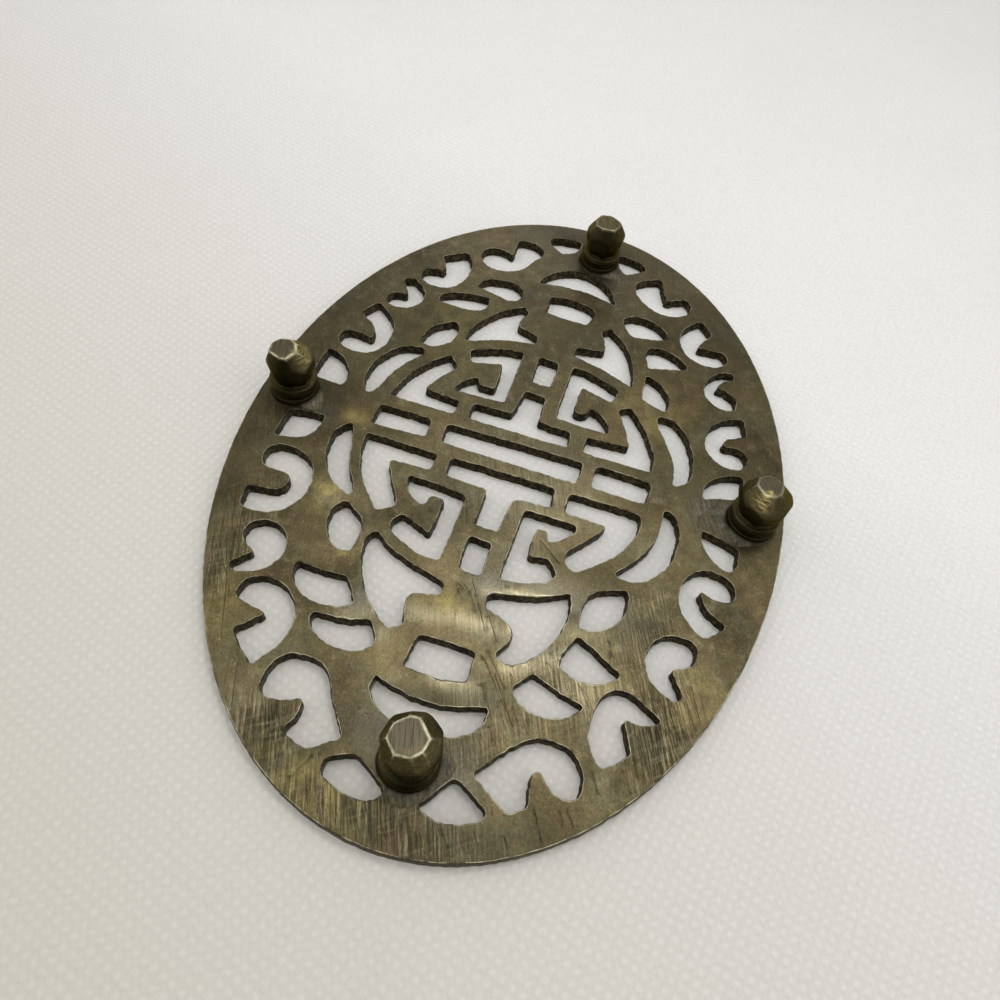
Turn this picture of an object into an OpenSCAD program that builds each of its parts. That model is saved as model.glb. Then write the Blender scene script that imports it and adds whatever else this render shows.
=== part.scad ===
// Oval pierced trivet: a plate sawn from sheet brass, on four faceted feet that are soft-soldered to it.
// The trivet stands on its feet with +Z up, and its origin is on the table under the middle of the plate.

/* [Plate] */
// Length of the oval plate
plate_l = 150; // [110:1:220]
// Width of the oval plate
plate_w = 106; // [80:1:160]
// Thickness of the brass sheet
plate_t = 2.2; // [1.2:0.1:4]
// Radius that the saw and file leave in a tight corner of an opening
saw_r = 0.5; // [0.2:0.05:0.8]
// Width of the metal that every opening leaves round the base of a foot
seat_land = 0.3; // [0.15:0.05:1]

/* [Feet] */
// Height of a foot, from the table to the underside of the plate
foot_h = 11.4; // [8:0.1:20]
// Width of the knob across its facets, at its widest
knob_w = 8.8; // [7:0.1:12]
// Width of the knob across the flat tip that stands on the table
tip_w = 5.2; // [3:0.1:6.4]
// Width of the knob where it grows out of the neck
knob_root_w = 7.6; // [6:0.1:8.6]
// Height of the sloping facets between the tip and the widest part of the knob
tip_slope_h = 2.6; // [1:0.1:4]
// Height of the upright part of the facets below those
girdle_h = 1.6; // [0.2:0.1:2]

/* [Turned neck] */
// Diameter of the ring that sits on the plate
base_d = 9.4; // [7:0.1:12]
// Height of the ring that sits on the plate
base_h = 1.6; // [1.2:0.1:2.4]
// Diameter at the bottom of the turned groove
groove_d = 7.8; // [5:0.1:8.2]
// Height of the turned groove
groove_h = 1.1; // [0.4:0.1:2]
// Diameter of the collar under the knob
collar_d = 9.2; // [7:0.1:11]
// Height of the collar under the knob
collar_h = 1.4; // [1.2:0.1:2.4]
// Radius of the turned edges of the rings
ring_edge_r = 0.4; // [0.1:0.05:0.6]

/* [Solder] */
// How far the solder runs out over the plate round a foot
solder_run = 1.3; // [0.6:0.1:2]
// How high the solder climbs up the side of a foot
solder_climb = 1; // [0.4:0.1:1.4]
// Gap between the solder and the foot
solder_gap = 0.05; // [0.02:0.01:0.1]

/* [Hidden] */

plate_colour = "#655a3c";
foot_colour = "#5b5238";
solder_colour = "#4a473f";

// How far a cutting shape runs past the face that it cuts
overrun = 1;
// Largest gap between a drawn curve and its chords
chord_gap = 0.03;
// Chords round the oval rim
rim_sides = 120;
// Chords round a turned part
turned_sides = 64;
// Chords round the edge of a ring
edge_chords = 4;
// Facets in each row round a knob, which come in opposite pairs
knob_facets = 8;

// The pattern is laid out on a grid of equal steps, so many along the plate and so many across it.
// A corner of an outline is [step along, step across], or [step along, step across, radius in steps].
grid_shares = [150, 106];
grid = [plate_l / grid_shares[0], plate_w / grid_shares[1]];

// Feet: front, back, left, right
foot_shares = [[62, -0.8], [-63.6, -2.2], [0.8, 46.6], [-0.4, -46.4]];
// Each was filed by hand, so its knob and its tip are a share of the usual width
knob_shares = [1.02, 0.93, 1, 1.04];
tip_shares = [1.1, 1.03, 0.92, 0.88];

// Border scrolls, from the left foot clockwise: a round lobe, a tongue of metal and a pointed lobe
scroll_shares = [
    [[14.2, 45.3, 3], [20.4, 45.1, 2.2], [19.8, 38, 1.4], [24.2, 37.8, 1.8], [25, 44.5],
        [29.8, 44.2, 1.4], [29.2, 37.6, 5], [24.5, 33.9, 5], [18.5, 34.2, 5], [14.2, 38, 5]],
    [[30.6, 40.4, 3], [35.1, 40.9, 1.6], [37.3, 36.8], [40.3, 40.2], [41.9, 38.8], [40.3, 34.2, 3],
        [37, 32.2, 4], [33, 32.2, 4], [30.5, 35.5, 3]],
    [[40.8, 35.9, 3.4], [46.1, 36.8, 1.8], [46.9, 29.6], [51.3, 33.9, 0.8], [53.4, 31.6, 2],
        [55.9, 28.1], [51, 25.3, 3], [45, 24.9, 4], [40.8, 29.5, 4]],
    [[51.5, 24.3, 4.5], [55.5, 25.5, 3], [59.9, 25.5, 1.8], [59.6, 21, 2], [57.9, 18.3, 0.6],
        [60, 17.5, 1], [63.8, 19.1], [65.3, 14.6], [61.8, 10], [56.5, 14.2, 9], [51.7, 16.8, 5]],
    [[60.6, -10.3], [55, -14.8, 9], [52, -18.4, 4], [52, -25.2, 4.5], [57, -27, 2.5],
        [60.1, -26.4, 1.6], [59.6, -22.2, 2], [56.5, -19.8], [58.6, -18.6, 1], [62.4, -19.9, 1],
        [64.7, -17]],
    [[40, -30.4, 1.5], [41.4, -26.8, 2.5], [46.5, -25.5, 5], [51.2, -26.2, 3], [54.1, -28.8, 0.9],
        [50.3, -33], [44.7, -30.5], [45.3, -34.6, 1], [43.4, -37]],
    [[27.6, -40, 2], [28, -34, 4], [32.5, -31.8, 4], [37.2, -32.9, 4], [39.9, -38.2, 0.8],
        [38.3, -39.5], [34.2, -36.7, 0.6], [32.4, -40.4, 1], [29.4, -40.9, 1.5]],
    [[13.1, -45.4, 3], [12.8, -38.6, 4], [17, -35.6, 5], [22.5, -35.8, 5], [27.4, -41.2, 1.6],
        [23.1, -44.9], [20.8, -40.2, 2.5], [17.2, -39, 0.9], [18.9, -42.5, 2], [18.2, -45.9, 1.6]],
    [[-26.5, -42.4, 0.8], [-24.8, -38.4, 3], [-21, -35.3, 4], [-15, -35.2, 4], [-12, -39.5, 3],
        [-12.3, -44, 2], [-16.4, -44.8, 1.5], [-18.2, -42.5, 1.5], [-17.2, -38.8], [-19.9, -39.4, 0.8],
        [-21.6, -43.7]],
    [[-39.3, -38.8, 0.8], [-38, -35, 2.5], [-34, -33, 4], [-29.8, -33, 4], [-27.3, -37, 3],
        [-28, -40.4, 1], [-31.4, -40.6, 1], [-33.4, -37.8, 1.2], [-33, -35.5], [-35.9, -36.4, 1.5],
        [-37.2, -39.2]],
    [[-53.3, -29.4], [-49.4, -26, 4], [-44.2, -25.2, 5], [-39.6, -28.6, 4], [-38.8, -34.4, 3],
        [-42, -37.4, 1.2], [-44.9, -36, 1], [-43.9, -30], [-46, -30.2, 2], [-49.5, -32.8, 0.8]],
    [[-64.2, -18, 1], [-60.6, -12.4, 1.5], [-57, -12.4, 4], [-52, -17.2, 7], [-51.5, -22.5, 4],
        [-54.2, -26.6, 2.5], [-58, -26.4, 1], [-59.3, -24.6, 0.8], [-56.4, -20.4], [-60, -19.2, 2]],
    [[-64.4, 15, 1], [-63.6, 18.2], [-57.3, 17.6, 0.6], [-58.8, 20.6, 2], [-58.1, 24.5, 2],
        [-54.8, 25.3, 2.5], [-51, 23, 3], [-51, 17, 6], [-54.5, 13.4, 6], [-58.2, 12.6, 2],
        [-60.6, 10.5, 1.2], [-63, 11.4, 1]],
    [[-54, 28], [-50.3, 33.3], [-47.5, 31, 2], [-45.3, 31.2], [-45.2, 35.2, 1.5], [-42.8, 36.2, 1.5],
        [-39.4, 34.2, 3], [-39.8, 28, 4], [-44.5, 25.4, 5], [-50.5, 25.6, 3]],
    [[-40.2, 36.4], [-39.3, 38.8], [-34.4, 35.8], [-34.3, 39.4, 1.5], [-32, 40.4, 1.5],
        [-29.6, 39.6, 1.5], [-29.8, 35, 3], [-33, 31.8, 4], [-37.2, 32.6, 4]],
    [[-29.7, 40.8, 1.2], [-25, 43.6, 1], [-22.2, 38.3, 3], [-18.4, 38], [-19.3, 43, 1],
        [-18.3, 44.9, 1.2], [-14.2, 44.9, 2.5], [-13.2, 38, 4], [-17, 34.6, 5], [-24, 34.7, 5],
        [-28, 38.5, 3]]
];

// Two openings beside each foot: front, back, left, right
flank_shares = [
    [[63.2, 7.2, 0.7], [65.2, 11.5, 0.9], [67.8, 11.2, 1], [69.4, 6, 3], [69.2, 2.2, 1.4],
        [66.9, 1, 0.9]],
    [[61.8, -8.2, 0.8], [67.8, -3.9, 0.7], [68.9, -8, 3], [67, -13.4, 1], [65.2, -14.2, 0.7]],
    [[-69.7, 3.2, 0.8], [-68.8, 9.6, 2], [-67.4, 11.2, 0.8], [-65.4, 10.6, 1], [-62.9, 6.7, 0.8],
        [-65.6, 3.2, 1]],
    [[-68.8, -6.4, 0.7], [-64.2, -6.9, 1.2], [-61.7, -9.4, 0.9], [-65.6, -14, 0.9], [-68, -12.4, 1.2]],
    [[-12.6, 45.3, 0.8], [-4.1, 45.6, 1], [-3.5, 38.2, 1.2], [-7.2, 38.3, 2.5], [-11.5, 41.6, 2]],
    [[5.6, 45.6, 0.8], [13, 45.5, 0.8], [11.6, 40, 2], [9.2, 38.4, 2], [4.6, 38.1, 0.8]],
    [[-11.2, -44.2, 0.8], [-10.2, -40.6, 2], [-6.6, -36.6, 2.5], [-2.5, -36.8, 0.8], [-4.3, -40.5, 2],
        [-5, -44.6, 0.8]],
    [[4.6, -37.7], [7.6, -38, 2], [11, -40.8, 3], [12.2, -43.8, 0.7], [10.8, -45.3], [6.6, -45.3, 0.8],
        [5.2, -41, 2]]
];

// Leaves between the border and the bats, three to a quarter, from the left foot clockwise
leaf_shares = [
    [[21.7, 26.6, 0.8], [23.8, 28.4, 1.5], [27.5, 28.2, 4], [32.2, 25, 2.5], [31.6, 21.6, 0.9],
        [25.2, 21.6, 1.5], [23, 24.6, 3]],
    [[36.2, 29.5], [39.4, 29.4, 2], [42.8, 25, 5], [42.2, 19, 3], [40.4, 17.2, 0.8], [36, 20.3],
        [36.7, 25, 5]],
    [[44, 23], [46.6, 23, 2], [49, 18.5, 5], [48.6, 13, 3], [46, 11, 0.8], [42.2, 13.4], [44, 17.5, 5]],
    [[42.2, -15], [45.8, -12, 1], [48.2, -13.6, 2], [49.2, -18, 4], [47.8, -22.4, 3], [45, -24.2, 0.7],
        [44.3, -20, 5]],
    [[33.4, -20.4], [38.4, -18.2, 1.5], [40.2, -18.6, 1.2], [41.6, -23, 4], [40.2, -27, 2.5],
        [38, -29, 0.7]],
    [[22, -26.6, 0.8], [24.6, -20.6, 1.5], [28, -19.8, 4], [32.3, -19.9, 0.9], [31.4, -24.4, 3],
        [27.4, -27.4, 3], [23.2, -27.4, 0.8]],
    [[-31.2, -20.3], [-29.6, -24, 3], [-26, -26.6, 2.5], [-22.1, -26.2, 0.8], [-22.6, -23.5, 3],
        [-23.7, -20.5, 0.8]],
    [[-40, -19.6, 1.2], [-38.2, -18.6, 0.8], [-33.2, -20.3], [-36.3, -29.2, 0.7], [-39, -27, 2.5],
        [-40.5, -22.5, 4]],
    [[-48.5, -14, 1.5], [-46.8, -11.8, 1], [-44.6, -12.4, 1], [-41.4, -15], [-43.6, -23.4, 0.9],
        [-46.6, -22, 2], [-48.8, -18, 8]],
    [[-48.4, 15.5, 3], [-46.8, 21.8, 2], [-43.2, 22.5, 0.7], [-42.8, 18, 3], [-41.4, 14, 1.2],
        [-42.8, 11.8, 1.2], [-47, 11.8, 2]],
    [[-40.9, 18.4, 1], [-40.3, 24.5, 9], [-38, 29.2, 1.2], [-35.3, 29.2], [-35.2, 20.5, 2],
        [-37, 18, 1.2]],
    [[-30.6, 23.2, 0.8], [-27.3, 27.6, 3], [-21.6, 28.8, 1.2], [-20.9, 25.4, 1], [-24.4, 21.6, 2],
        [-29, 21.6, 1.5]]
];

// Crescents outside the medallion's ring
crescent_shares = [
    [[4.4, 32.6, 0.8], [6.2, 35, 2], [12, 35.3, 8], [18.5, 31.8, 7], [20.8, 26.6, 1], [19.2, 26],
        [14.5, 29.5, 10], [8.5, 31.1, 6]],
    [[2.4, -30, 0.8], [9, -30.2, 6], [14.5, -28, 10], [19.6, -23.6], [20.6, -25.6, 1.5],
        [19.6, -29.5, 4], [14, -33.6, 6], [7, -34, 5], [3, -32.4, 1.5]],
    [[-20.4, -24.8, 0.7], [-20.9, -28.4, 2.5], [-16, -32.4, 10], [-9.5, -34.2, 10], [-5, -33.7, 2],
        [-3.6, -30.6, 0.8], [-9, -30.4, 10], [-15, -27, 14], [-18.2, -24.8, 0.7]],
    [[-20.3, 26.8, 0.8], [-19.2, 31.6, 5], [-12.5, 35.4, 6], [-6.2, 35.2, 3], [-3.6, 33.3, 0.9],
        [-5, 31.9, 0.8], [-11, 30.6, 12], [-15.5, 28.6, 8], [-18.4, 26, 0.8]]
];

// The bat at each end: two wings, a body and a crescent behind it
bat_shares = [
    [[25.9, 18.8], [27, 20.2, 0.8], [31.5, 20, 9], [38.5, 16.2, 14], [43.1, 10.4, 1.2], [41.3, 7.9, 0.8],
        [37.6, 9.6, 2.5], [35.3, 9.3, 1.6], [34.3, 3.9, 0.9], [31.5, 4.2, 0.8], [30.2, 10.5, 8],
        [28.2, 16.2, 6]],
    [[31, -3.6, 0.8], [33.9, -3.6, 0.9], [35, -8.4, 2], [37, -10.6, 2], [41.4, -7.8, 0.9],
        [42.7, -9.8, 1], [41.6, -12.6, 3], [36.5, -16.9, 12], [29, -18.4, 7], [26.1, -17.2],
        [29, -12, 10]],
    [[41.9, 5.1, 0.9], [48.1, 5.8, 0.7], [48.4, 0, 6], [47.4, -5.2, 0.9], [42, -4.9]],
    [[50.9, 9.2, 0.8], [54, 9.4, 2], [57, 5.2, 4], [57.1, 0, 12], [56.8, -6, 4], [53.5, -9.9, 2],
        [50.1, -9.6, 0.7], [52.4, -3, 12], [52.6, 3, 12]],
    [[-33.3, -4], [-30.4, -4], [-29.2, -10.5, 8], [-26, -18], [-30.5, -17.6, 9], [-38, -14.9, 14],
        [-42.2, -9.8], [-39.8, -8, 0.8], [-37, -10, 2], [-34.2, -10.2, 0.8]],
    [[-25.6, 19.6], [-30, 19.6, 8], [-37.5, 15.2, 16], [-41.2, 10.2, 0.8], [-39.4, 8.7],
        [-36.6, 10.4, 2], [-34.4, 9.9, 0.8], [-33.2, 4.8], [-30.6, 4.7], [-29.4, 11.5, 8]],
    [[-48, 0.5, 5], [-47.2, 5.7, 0.9], [-41.3, 5.2, 0.7], [-40.9, -4.4, 0.7], [-45.6, -5.8, 0.8],
        [-47.2, -4.6, 1]],
    [[-50.4, 9.6], [-54.5, 8.2, 8], [-58.6, 3, 9], [-58.6, -2.5, 9], [-54.5, -7.8, 8], [-50, -9.4],
        [-51.9, -3, 12], [-51.8, 3.4, 12]]
];

// The round long-life medallion: its bar, slots, windows and tees
medallion_shares = [
    [[-2.2, 15.3, 0.6], [2.7, 15.2], [2.8, -12.7, 0.8], [-2.6, -12.9, 0.6]],
    [[-2.1, 29.8, 0.8], [3.3, 29.4], [2.6, 18.2], [-2.1, 18.6, 0.8]],
    [[-3, -15.4, 0.9], [2.6, -15.3, 1], [2.8, -26.4, 0.9], [-2.6, -26.9, 0.9]],
    [[-27.3, 2.9], [-19.6, 2.8], [-19.4, -1.6, 0.8], [-27, -1.6]],
    [[21, 3.3, 0.8], [28.4, 2.9, 0.9], [28.4, -1.3, 0.9], [21.3, -1.3, 0.7]],
    [[-9.3, 12.2, 0.7], [-5, 12, 0.7], [-5.2, -9.1, 0.7], [-9.2, -8.5, 0.7], [-9.4, -1.6],
        [-16.4, -1.4], [-16.6, 3.1], [-9.4, 3.9]],
    [[5.5, 12, 0.8], [10, 11.8, 0.8], [10.2, 3.1], [18.6, 3.1], [18.6, -1.5], [10.9, -1.9, 0.8],
        [10.2, -3], [10, -9.5], [5.4, -8.9]]
];

// The medallion's outer frets, each a straight leg with an arm along the ring
fret_shares = [
    [[5.7, 29.2, 1.2], [9.5, 29, 6], [15.8, 26.4, 12], [22.1, 20.8, 1], [19.7, 17.6, 1], [10.9, 22.8],
        [10.1, 22.2], [10, 14.6, 0.7], [5.9, 14.6]],
    [[5.4, -11.9, 0.8], [10, -11.9, 0.8], [10.2, -20.3], [12.3, -19.5, 2], [18.5, -14.2, 1],
        [21, -14.6, 1.2], [22, -17.2, 0.8], [15.8, -23.6, 8], [9, -26.6, 4], [5.4, -26.1, 1]],
    [[-20.6, -18.9, 0.8], [-18.6, -16.3, 0.8], [-16, -18.2, 3], [-9.7, -20.9], [-9.3, -11.9, 0.7],
        [-5.1, -11.8], [-5.3, -26.2], [-9, -26.2, 6], [-15.5, -23, 10]],
    [[-20.3, 20.8], [-17.5, 23.8, 6], [-11.5, 27.3, 12], [-5, 28.8], [-5, 15, 0.8], [-8.7, 15],
        [-9.2, 22.6], [-10.6, 22.5, 2], [-17.8, 18.3]]
];

// The medallion's inner hooks, each turned back on itself
hook_shares = [
    [[12.2, 18, 0.7], [14.2, 17.9, 1], [17.2, 15.9, 0.8], [17.1, 14.9], [18.1, 13.8], [17.2, 12.8],
        [15.2, 12.8], [15.3, 9.9], [23.4, 9.9], [20.8, 16.2, 0.8], [23.2, 17.8, 0.8], [25.2, 17, 2],
        [28, 10.5, 4], [27.9, 6.5, 0.9], [13, 6.3, 0.9]],
    [[12.1, -4.9], [27.6, -4.4, 0.7], [27.6, -7.5, 4], [25.4, -13.2, 1.5], [23.6, -14.2, 0.8],
        [20.6, -11.8], [21.7, -8], [15.2, -8], [15.2, -10.2], [17.5, -10.6], [16.8, -12.4, 2],
        [13.8, -15.2, 0.8], [12.1, -15]],
    [[-27.3, -4.7, 1], [-27.1, -8, 3], [-24.2, -15.7, 0.7], [-20.2, -14.6], [-22.3, -7.8],
        [-14.7, -7.8], [-14.8, -10.4], [-17.3, -11], [-15.6, -14.2, 2], [-13, -15.9, 0.8],
        [-11.5, -15.6], [-11.8, -4.6]],
    [[-27.1, 6.3], [-26.6, 10.5, 4], [-23.4, 17.8, 1], [-20, 16.2], [-22.1, 9.7], [-14.6, 9.2],
        [-14.4, 12.5], [-16.5, 13.4], [-14.8, 16, 2], [-11.2, 17.5, 0.8], [-11.7, 6.4]]
];

opening_shares = concat(
    scroll_shares, flank_shares, leaf_shares, crescent_shares,
    bat_shares, medallion_shares, fret_shares, hook_shares
);

// Heights of the foot's steps above the table
knob_h = foot_h - base_h - groove_h - collar_h;
collar_z = knob_h;
groove_z = collar_z + collar_h;
base_z = groove_z + groove_h;
// How far the knob runs into the collar
knob_sink = collar_h / 2;

function spot(p) = [p[0] * grid[0], p[1] * grid[1]];
function corner_r(p) = len(p) > 2 ? p[2] * (grid[0] + grid[1]) / 2 : saw_r;
function unit(v) = v / norm(v);

// An arc in the corner b between its neighbours a and c; corners share an edge in the ratio of their radii
function corner(a, b, c) =
    let (
        pa = spot(a), pb = spot(b), pc = spot(c),
        ra = corner_r(a), rb = corner_r(b), rc = corner_r(c),
        u = unit(pa - pb), v = unit(pc - pb),
        half = acos(u * v) / 2,
        run = min(rb / tan(half), norm(pa - pb) * rb / (ra + rb), norm(pc - pb) * rb / (rb + rc)),
        r = run * tan(half),
        middle = pb + unit(u + v) * r / sin(half),
        from = pb + u * run - middle,
        start = atan2(from[1], from[0]),
        turn = (180 - 2 * half) * -sign(u[0] * v[1] - u[1] * v[0]),
        chords = max(1, ceil(abs(turn) / (2 * acos(1 - min(1, chord_gap / r)))))
    )
    [for (k = [0 : chords]) middle + r * [cos(start + turn * k / chords), sin(start + turn * k / chords)]];

function outline(corners) =
    let (n = len(corners))
    [for (i = [0 : n - 1]) each corner(corners[(i + n - 1) % n], corners[i], corners[(i + 1) % n])];

// The outside of a turned ring, with both edges rounded
function ring_side(d, h, z) =
    let (
        r = ring_edge_r,
        out = d / 2 - r,
        turns = [for (k = [0 : edge_chords]) 90 * k / edge_chords]
    )
    concat(
        [for (a = turns) [out + r * sin(a), z + r - r * cos(a)]],
        [for (a = turns) [out + r * cos(a), z + h - r + r * sin(a)]]
    );

module oval() {
    polygon([for (k = [0 : rim_sides - 1])
        [plate_l / 2 * cos(360 * k / rim_sides), plate_w / 2 * sin(360 * k / rim_sides)]]);
}

// Openings, which stop at the land round the base of each foot
module openings(shares) {
    difference() {
        for (corners = shares)
            polygon(outline(corners));
        for (place = foot_shares)
            translate(spot(place))
                circle(d = base_d + 2 * seat_land, $fn = turned_sides);
    }
}

module plate() {
    color(plate_colour)
        translate([0, 0, foot_h])
            linear_extrude(plate_t)
                difference() {
                    oval();
                    openings(opening_shares);
                }
}

// A row of facets: one side view, cut through at every pair of them
module facets(side, turn) {
    section = concat(side, [for (k = [len(side) - 1 : -1 : 0]) [-side[k][0], side[k][1]]]);
    pairs = knob_facets / 2;
    intersection_for (k = [0 : pairs - 1])
        rotate([90, 0, turn + 180 * k / pairs])
            linear_extrude(2 * knob_w, center = true)
                polygon(section);
}

// The knob's sloping facets, and those of its body half a step round from them
module knob(index) {
    tip_r = tip_shares[index] * tip_w / 2;
    knob_r = knob_shares[index] * knob_w / 2;
    top = knob_h + knob_sink;
    intersection() {
        facets([[tip_r, 0], [tip_r + (knob_r - tip_r) * top / tip_slope_h, top]], 0);
        facets([
            [knob_r, 0],
            [knob_r, tip_slope_h + girdle_h],
            [knob_root_w / 2, knob_h],
            [knob_root_w / 2, top]
        ], 180 / knob_facets);
    }
}

module foot(index) {
    color(foot_colour)
        translate(spot(foot_shares[index])) {
            knob(index);
            rotate_extrude($fn = turned_sides)
                polygon(concat(
                    [[0, collar_z]],
                    ring_side(collar_d, collar_h, collar_z),
                    [[groove_d / 2, groove_z], [groove_d / 2, base_z]],
                    ring_side(base_d, base_h, base_z),
                    [[0, foot_h]]
                ));
        }
}

// A fillet of solder round a foot, which stops where the openings beside the foot begin
module solder(index) {
    bore_r = base_d / 2 + solder_gap;
    foot_r = bore_r + solder_run;
    flanks = [flank_shares[2 * index], flank_shares[2 * index + 1]];
    end_crescent = index < 2 ? [bat_shares[4 * index + 3]] : [];
    color(solder_colour)
        difference() {
            translate(spot(foot_shares[index]))
                rotate_extrude($fn = turned_sides)
                    polygon([[bore_r, foot_h], [bore_r, foot_h - solder_climb], [foot_r, foot_h]]);
            translate([0, 0, foot_h - solder_climb - overrun])
                linear_extrude(solder_climb + 2 * overrun)
                    openings(concat(flanks, end_crescent));
        }
}

plate();
foot(0);  // foot_front
foot(1);  // foot_back
foot(2);  // foot_left
foot(3);  // foot_right
solder(0);  // solder_front
solder(1);  // solder_back
solder(2);  // solder_left
solder(3);  // solder_right
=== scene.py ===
"""Looks of an oval pierced brass trivet on four faceted feet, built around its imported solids.

Sizes are in millimetres until a mesh is made. The trivet stands on its feet, and the main camera looks
up at its underside, past a table that shows only from above, at a cloth that shows only from below.
"""
import math
import random

import bmesh
import bpy
import numpy as np
from mathutils import Matrix, Vector, geometry, kdtree, noise


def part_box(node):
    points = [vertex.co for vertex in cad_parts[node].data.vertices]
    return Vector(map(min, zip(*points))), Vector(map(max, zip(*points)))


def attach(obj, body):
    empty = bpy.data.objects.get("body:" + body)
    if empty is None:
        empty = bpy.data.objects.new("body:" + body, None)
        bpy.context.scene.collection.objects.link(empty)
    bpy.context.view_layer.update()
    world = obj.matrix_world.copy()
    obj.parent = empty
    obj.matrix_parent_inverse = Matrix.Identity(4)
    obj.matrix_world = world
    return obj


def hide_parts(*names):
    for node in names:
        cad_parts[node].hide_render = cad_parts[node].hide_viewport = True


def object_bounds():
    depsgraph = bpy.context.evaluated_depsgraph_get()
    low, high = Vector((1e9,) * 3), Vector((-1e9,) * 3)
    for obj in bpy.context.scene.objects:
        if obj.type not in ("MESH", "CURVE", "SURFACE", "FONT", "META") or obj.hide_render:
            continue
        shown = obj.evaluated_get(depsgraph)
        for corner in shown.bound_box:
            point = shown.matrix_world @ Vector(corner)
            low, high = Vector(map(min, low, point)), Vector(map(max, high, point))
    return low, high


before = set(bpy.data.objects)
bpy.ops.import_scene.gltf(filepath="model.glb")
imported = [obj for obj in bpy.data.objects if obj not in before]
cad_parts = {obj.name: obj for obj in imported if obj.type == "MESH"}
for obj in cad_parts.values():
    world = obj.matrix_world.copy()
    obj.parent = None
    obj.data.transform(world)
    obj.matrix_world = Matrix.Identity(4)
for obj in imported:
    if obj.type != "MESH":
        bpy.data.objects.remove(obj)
cad_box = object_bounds()

MM = 0.001
WELD = 0.005

# Camera: where it is, what it looks at, and the heading on the plate that points up in the picture
CAMERA_AT = (90.67, -11.1, -104.85)
CAMERA_AIM = (11.7, 0.16, 11.4)
CAMERA_BACK = (Vector(CAMERA_AT) - Vector(CAMERA_AIM)).normalized()
UP_HEADING = math.radians(163.1)
LENS = 27.04
SENSOR = 36
NEAREST = 10

# Outlines and faces of the plate
OUTLINE_STEP = 0.39
FILL_STEP = 1.0
FILL_SHAKE = 0.2
FILL_CLEAR = 0.5
FILL_SEED = 11
FEWEST_POINTS = 14
RIM_LENGTH = 100
SWEEP_PASSES = 22
CORNER_PASSES = 2
TURN_SPAN = 3
TURN_PASSES = 4
CORNER_SPAN = 2
SHARP_TURN = math.radians(62)
GENTLE_TURN = math.radians(30)
WIDEST_ROOM = 2.0
ROOM_SHARE = 0.84
ROOM_PASSES = 2
FACING_SHARE = 0.5
POINTS_AT_ONCE = 400

# Edges and sawn walls of the plate
EDGE_SOFT = 0.19
BAT_SOFT = 0.9
EDGE_DROP = 0.36
EDGE_TURNS = (0, 30, 60, 90)
TOP_SOFT = 0.08
TOP_TUCK = 1 - math.sqrt(0.5)
FACE_STRIP = 0.42
DRAFT = 0.12
RAG_SHARE = 0.2
RIM_ROUGH = 0.5
# How much each ring takes the edge marks (rubbing, bright painted glints, dark dirt and painted shade) and
# the wall's dark, rough look (dirt and painted shade), from the underside's flat face to the top edge
RING_EDGE_WEAR_AND_LIGHT = [0, 0.5, 1, 0.6, 0, 0, 0, 0, 0.6, 0.4]
RING_WALL_DIRT_AND_SHADE = [0, 0, 0.1, 0.85, 1, 1, 1, 1, 0.6, 0]

# Waves in the plate's faces, edges and walls: height, size and seed
UNDER_WAVES = [(0.07, 34, 1), (0.035, 9, 2), (0.008, 2.4, 3)]
SERVING_LOW = -0.04
SERVING_WAVES = [(-0.035, 30, 4), (-0.012, 7, 5)]
EDGE_WAVE = (0.4, 3, 6)
TOP_WAVE = (0.3, 4, 7)
SAW_MARKS = [(0.14, 0.9, 8), (0.14, 0.7, 9)]
SAW_WOBBLE = (0.05, 1.6, 10)
TOP_RAG = (0.1, 0.8, 11)
SAW_RAG = (0.17, 0.8, 12)
SEED_STEP = 7.3

# Feet: the heights and radii of the solids' turned neck, and the planes filed on their knobs
KNOB_H = 7.3
KNOB_MIDDLE = 3.6
COLLAR_R = 4.6
COLLAR_H = 1.4
GROOVE_R = 3.7
GROOVE_H = 1.1
GROOVE_FLARE = 0.1
GROOVE_CLEAR = 0.02
BASE_R = 4.7
RING_EDGE = 0.4
RING_STEPS = 6
KNOB_R = 4.4
TIP_R = 2.6
ROOT_R = 3.3
SLOPE_H = 2.6
GIRDLE_H = 1.6
FACETS = 8
RIDGE_SOFT = 0.15
RIDGE_WIDTH = 0.12
TIP_RIDGE_WIDTH = 0.27
LEAST_FACING = 0.05
KNOB_ROWS = 56
TURNED_STEPS = 120
# How far the file strayed, in radians round a foot and in millimetres
SLOPE_TURN_STRAY = 0.18
SIDE_TURN_STRAY = 0.15
TIP_STRAY = 0.2
SLOPE_STRAY = 0.4
SIDE_STRAY = (-0.15, 0.12)
ROOT_STRAY = 0.15
FILE_MARK = 0.05
FILE_MARK_SIZE = 1.6
# Waves rubbed into the neck: how deep, how many round it, how tall, and where they may begin
NECK_RUB = 0.07
NECK_RUB_TURNS = 2
NECK_RUB_H = 1.5
NECK_PHASES = 6
# Tone, golden painted glints, darkening and painted shade on the feet: strengths, and the heights above the
# table where they lie
TIP_TONE = 0.5
GOLD_GLINT_H = 0.9
GOLD_GLINT_REACH = 1.3
COLLAR_DARKENING = 0.1
BASE_DARKENING = 0.8
RING_TOP_DARKENING = 0.15
GROOVE_DARKENING = 0.95
KNOB_ROOT_SHADE = 0.7
KNOB_SHADE_H = 1.4
KNOB_SHADE_REACH = 1.8
SHADED_SIDE_H = 0.15
SHADED_SIDE_REACH = 0.4

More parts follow.
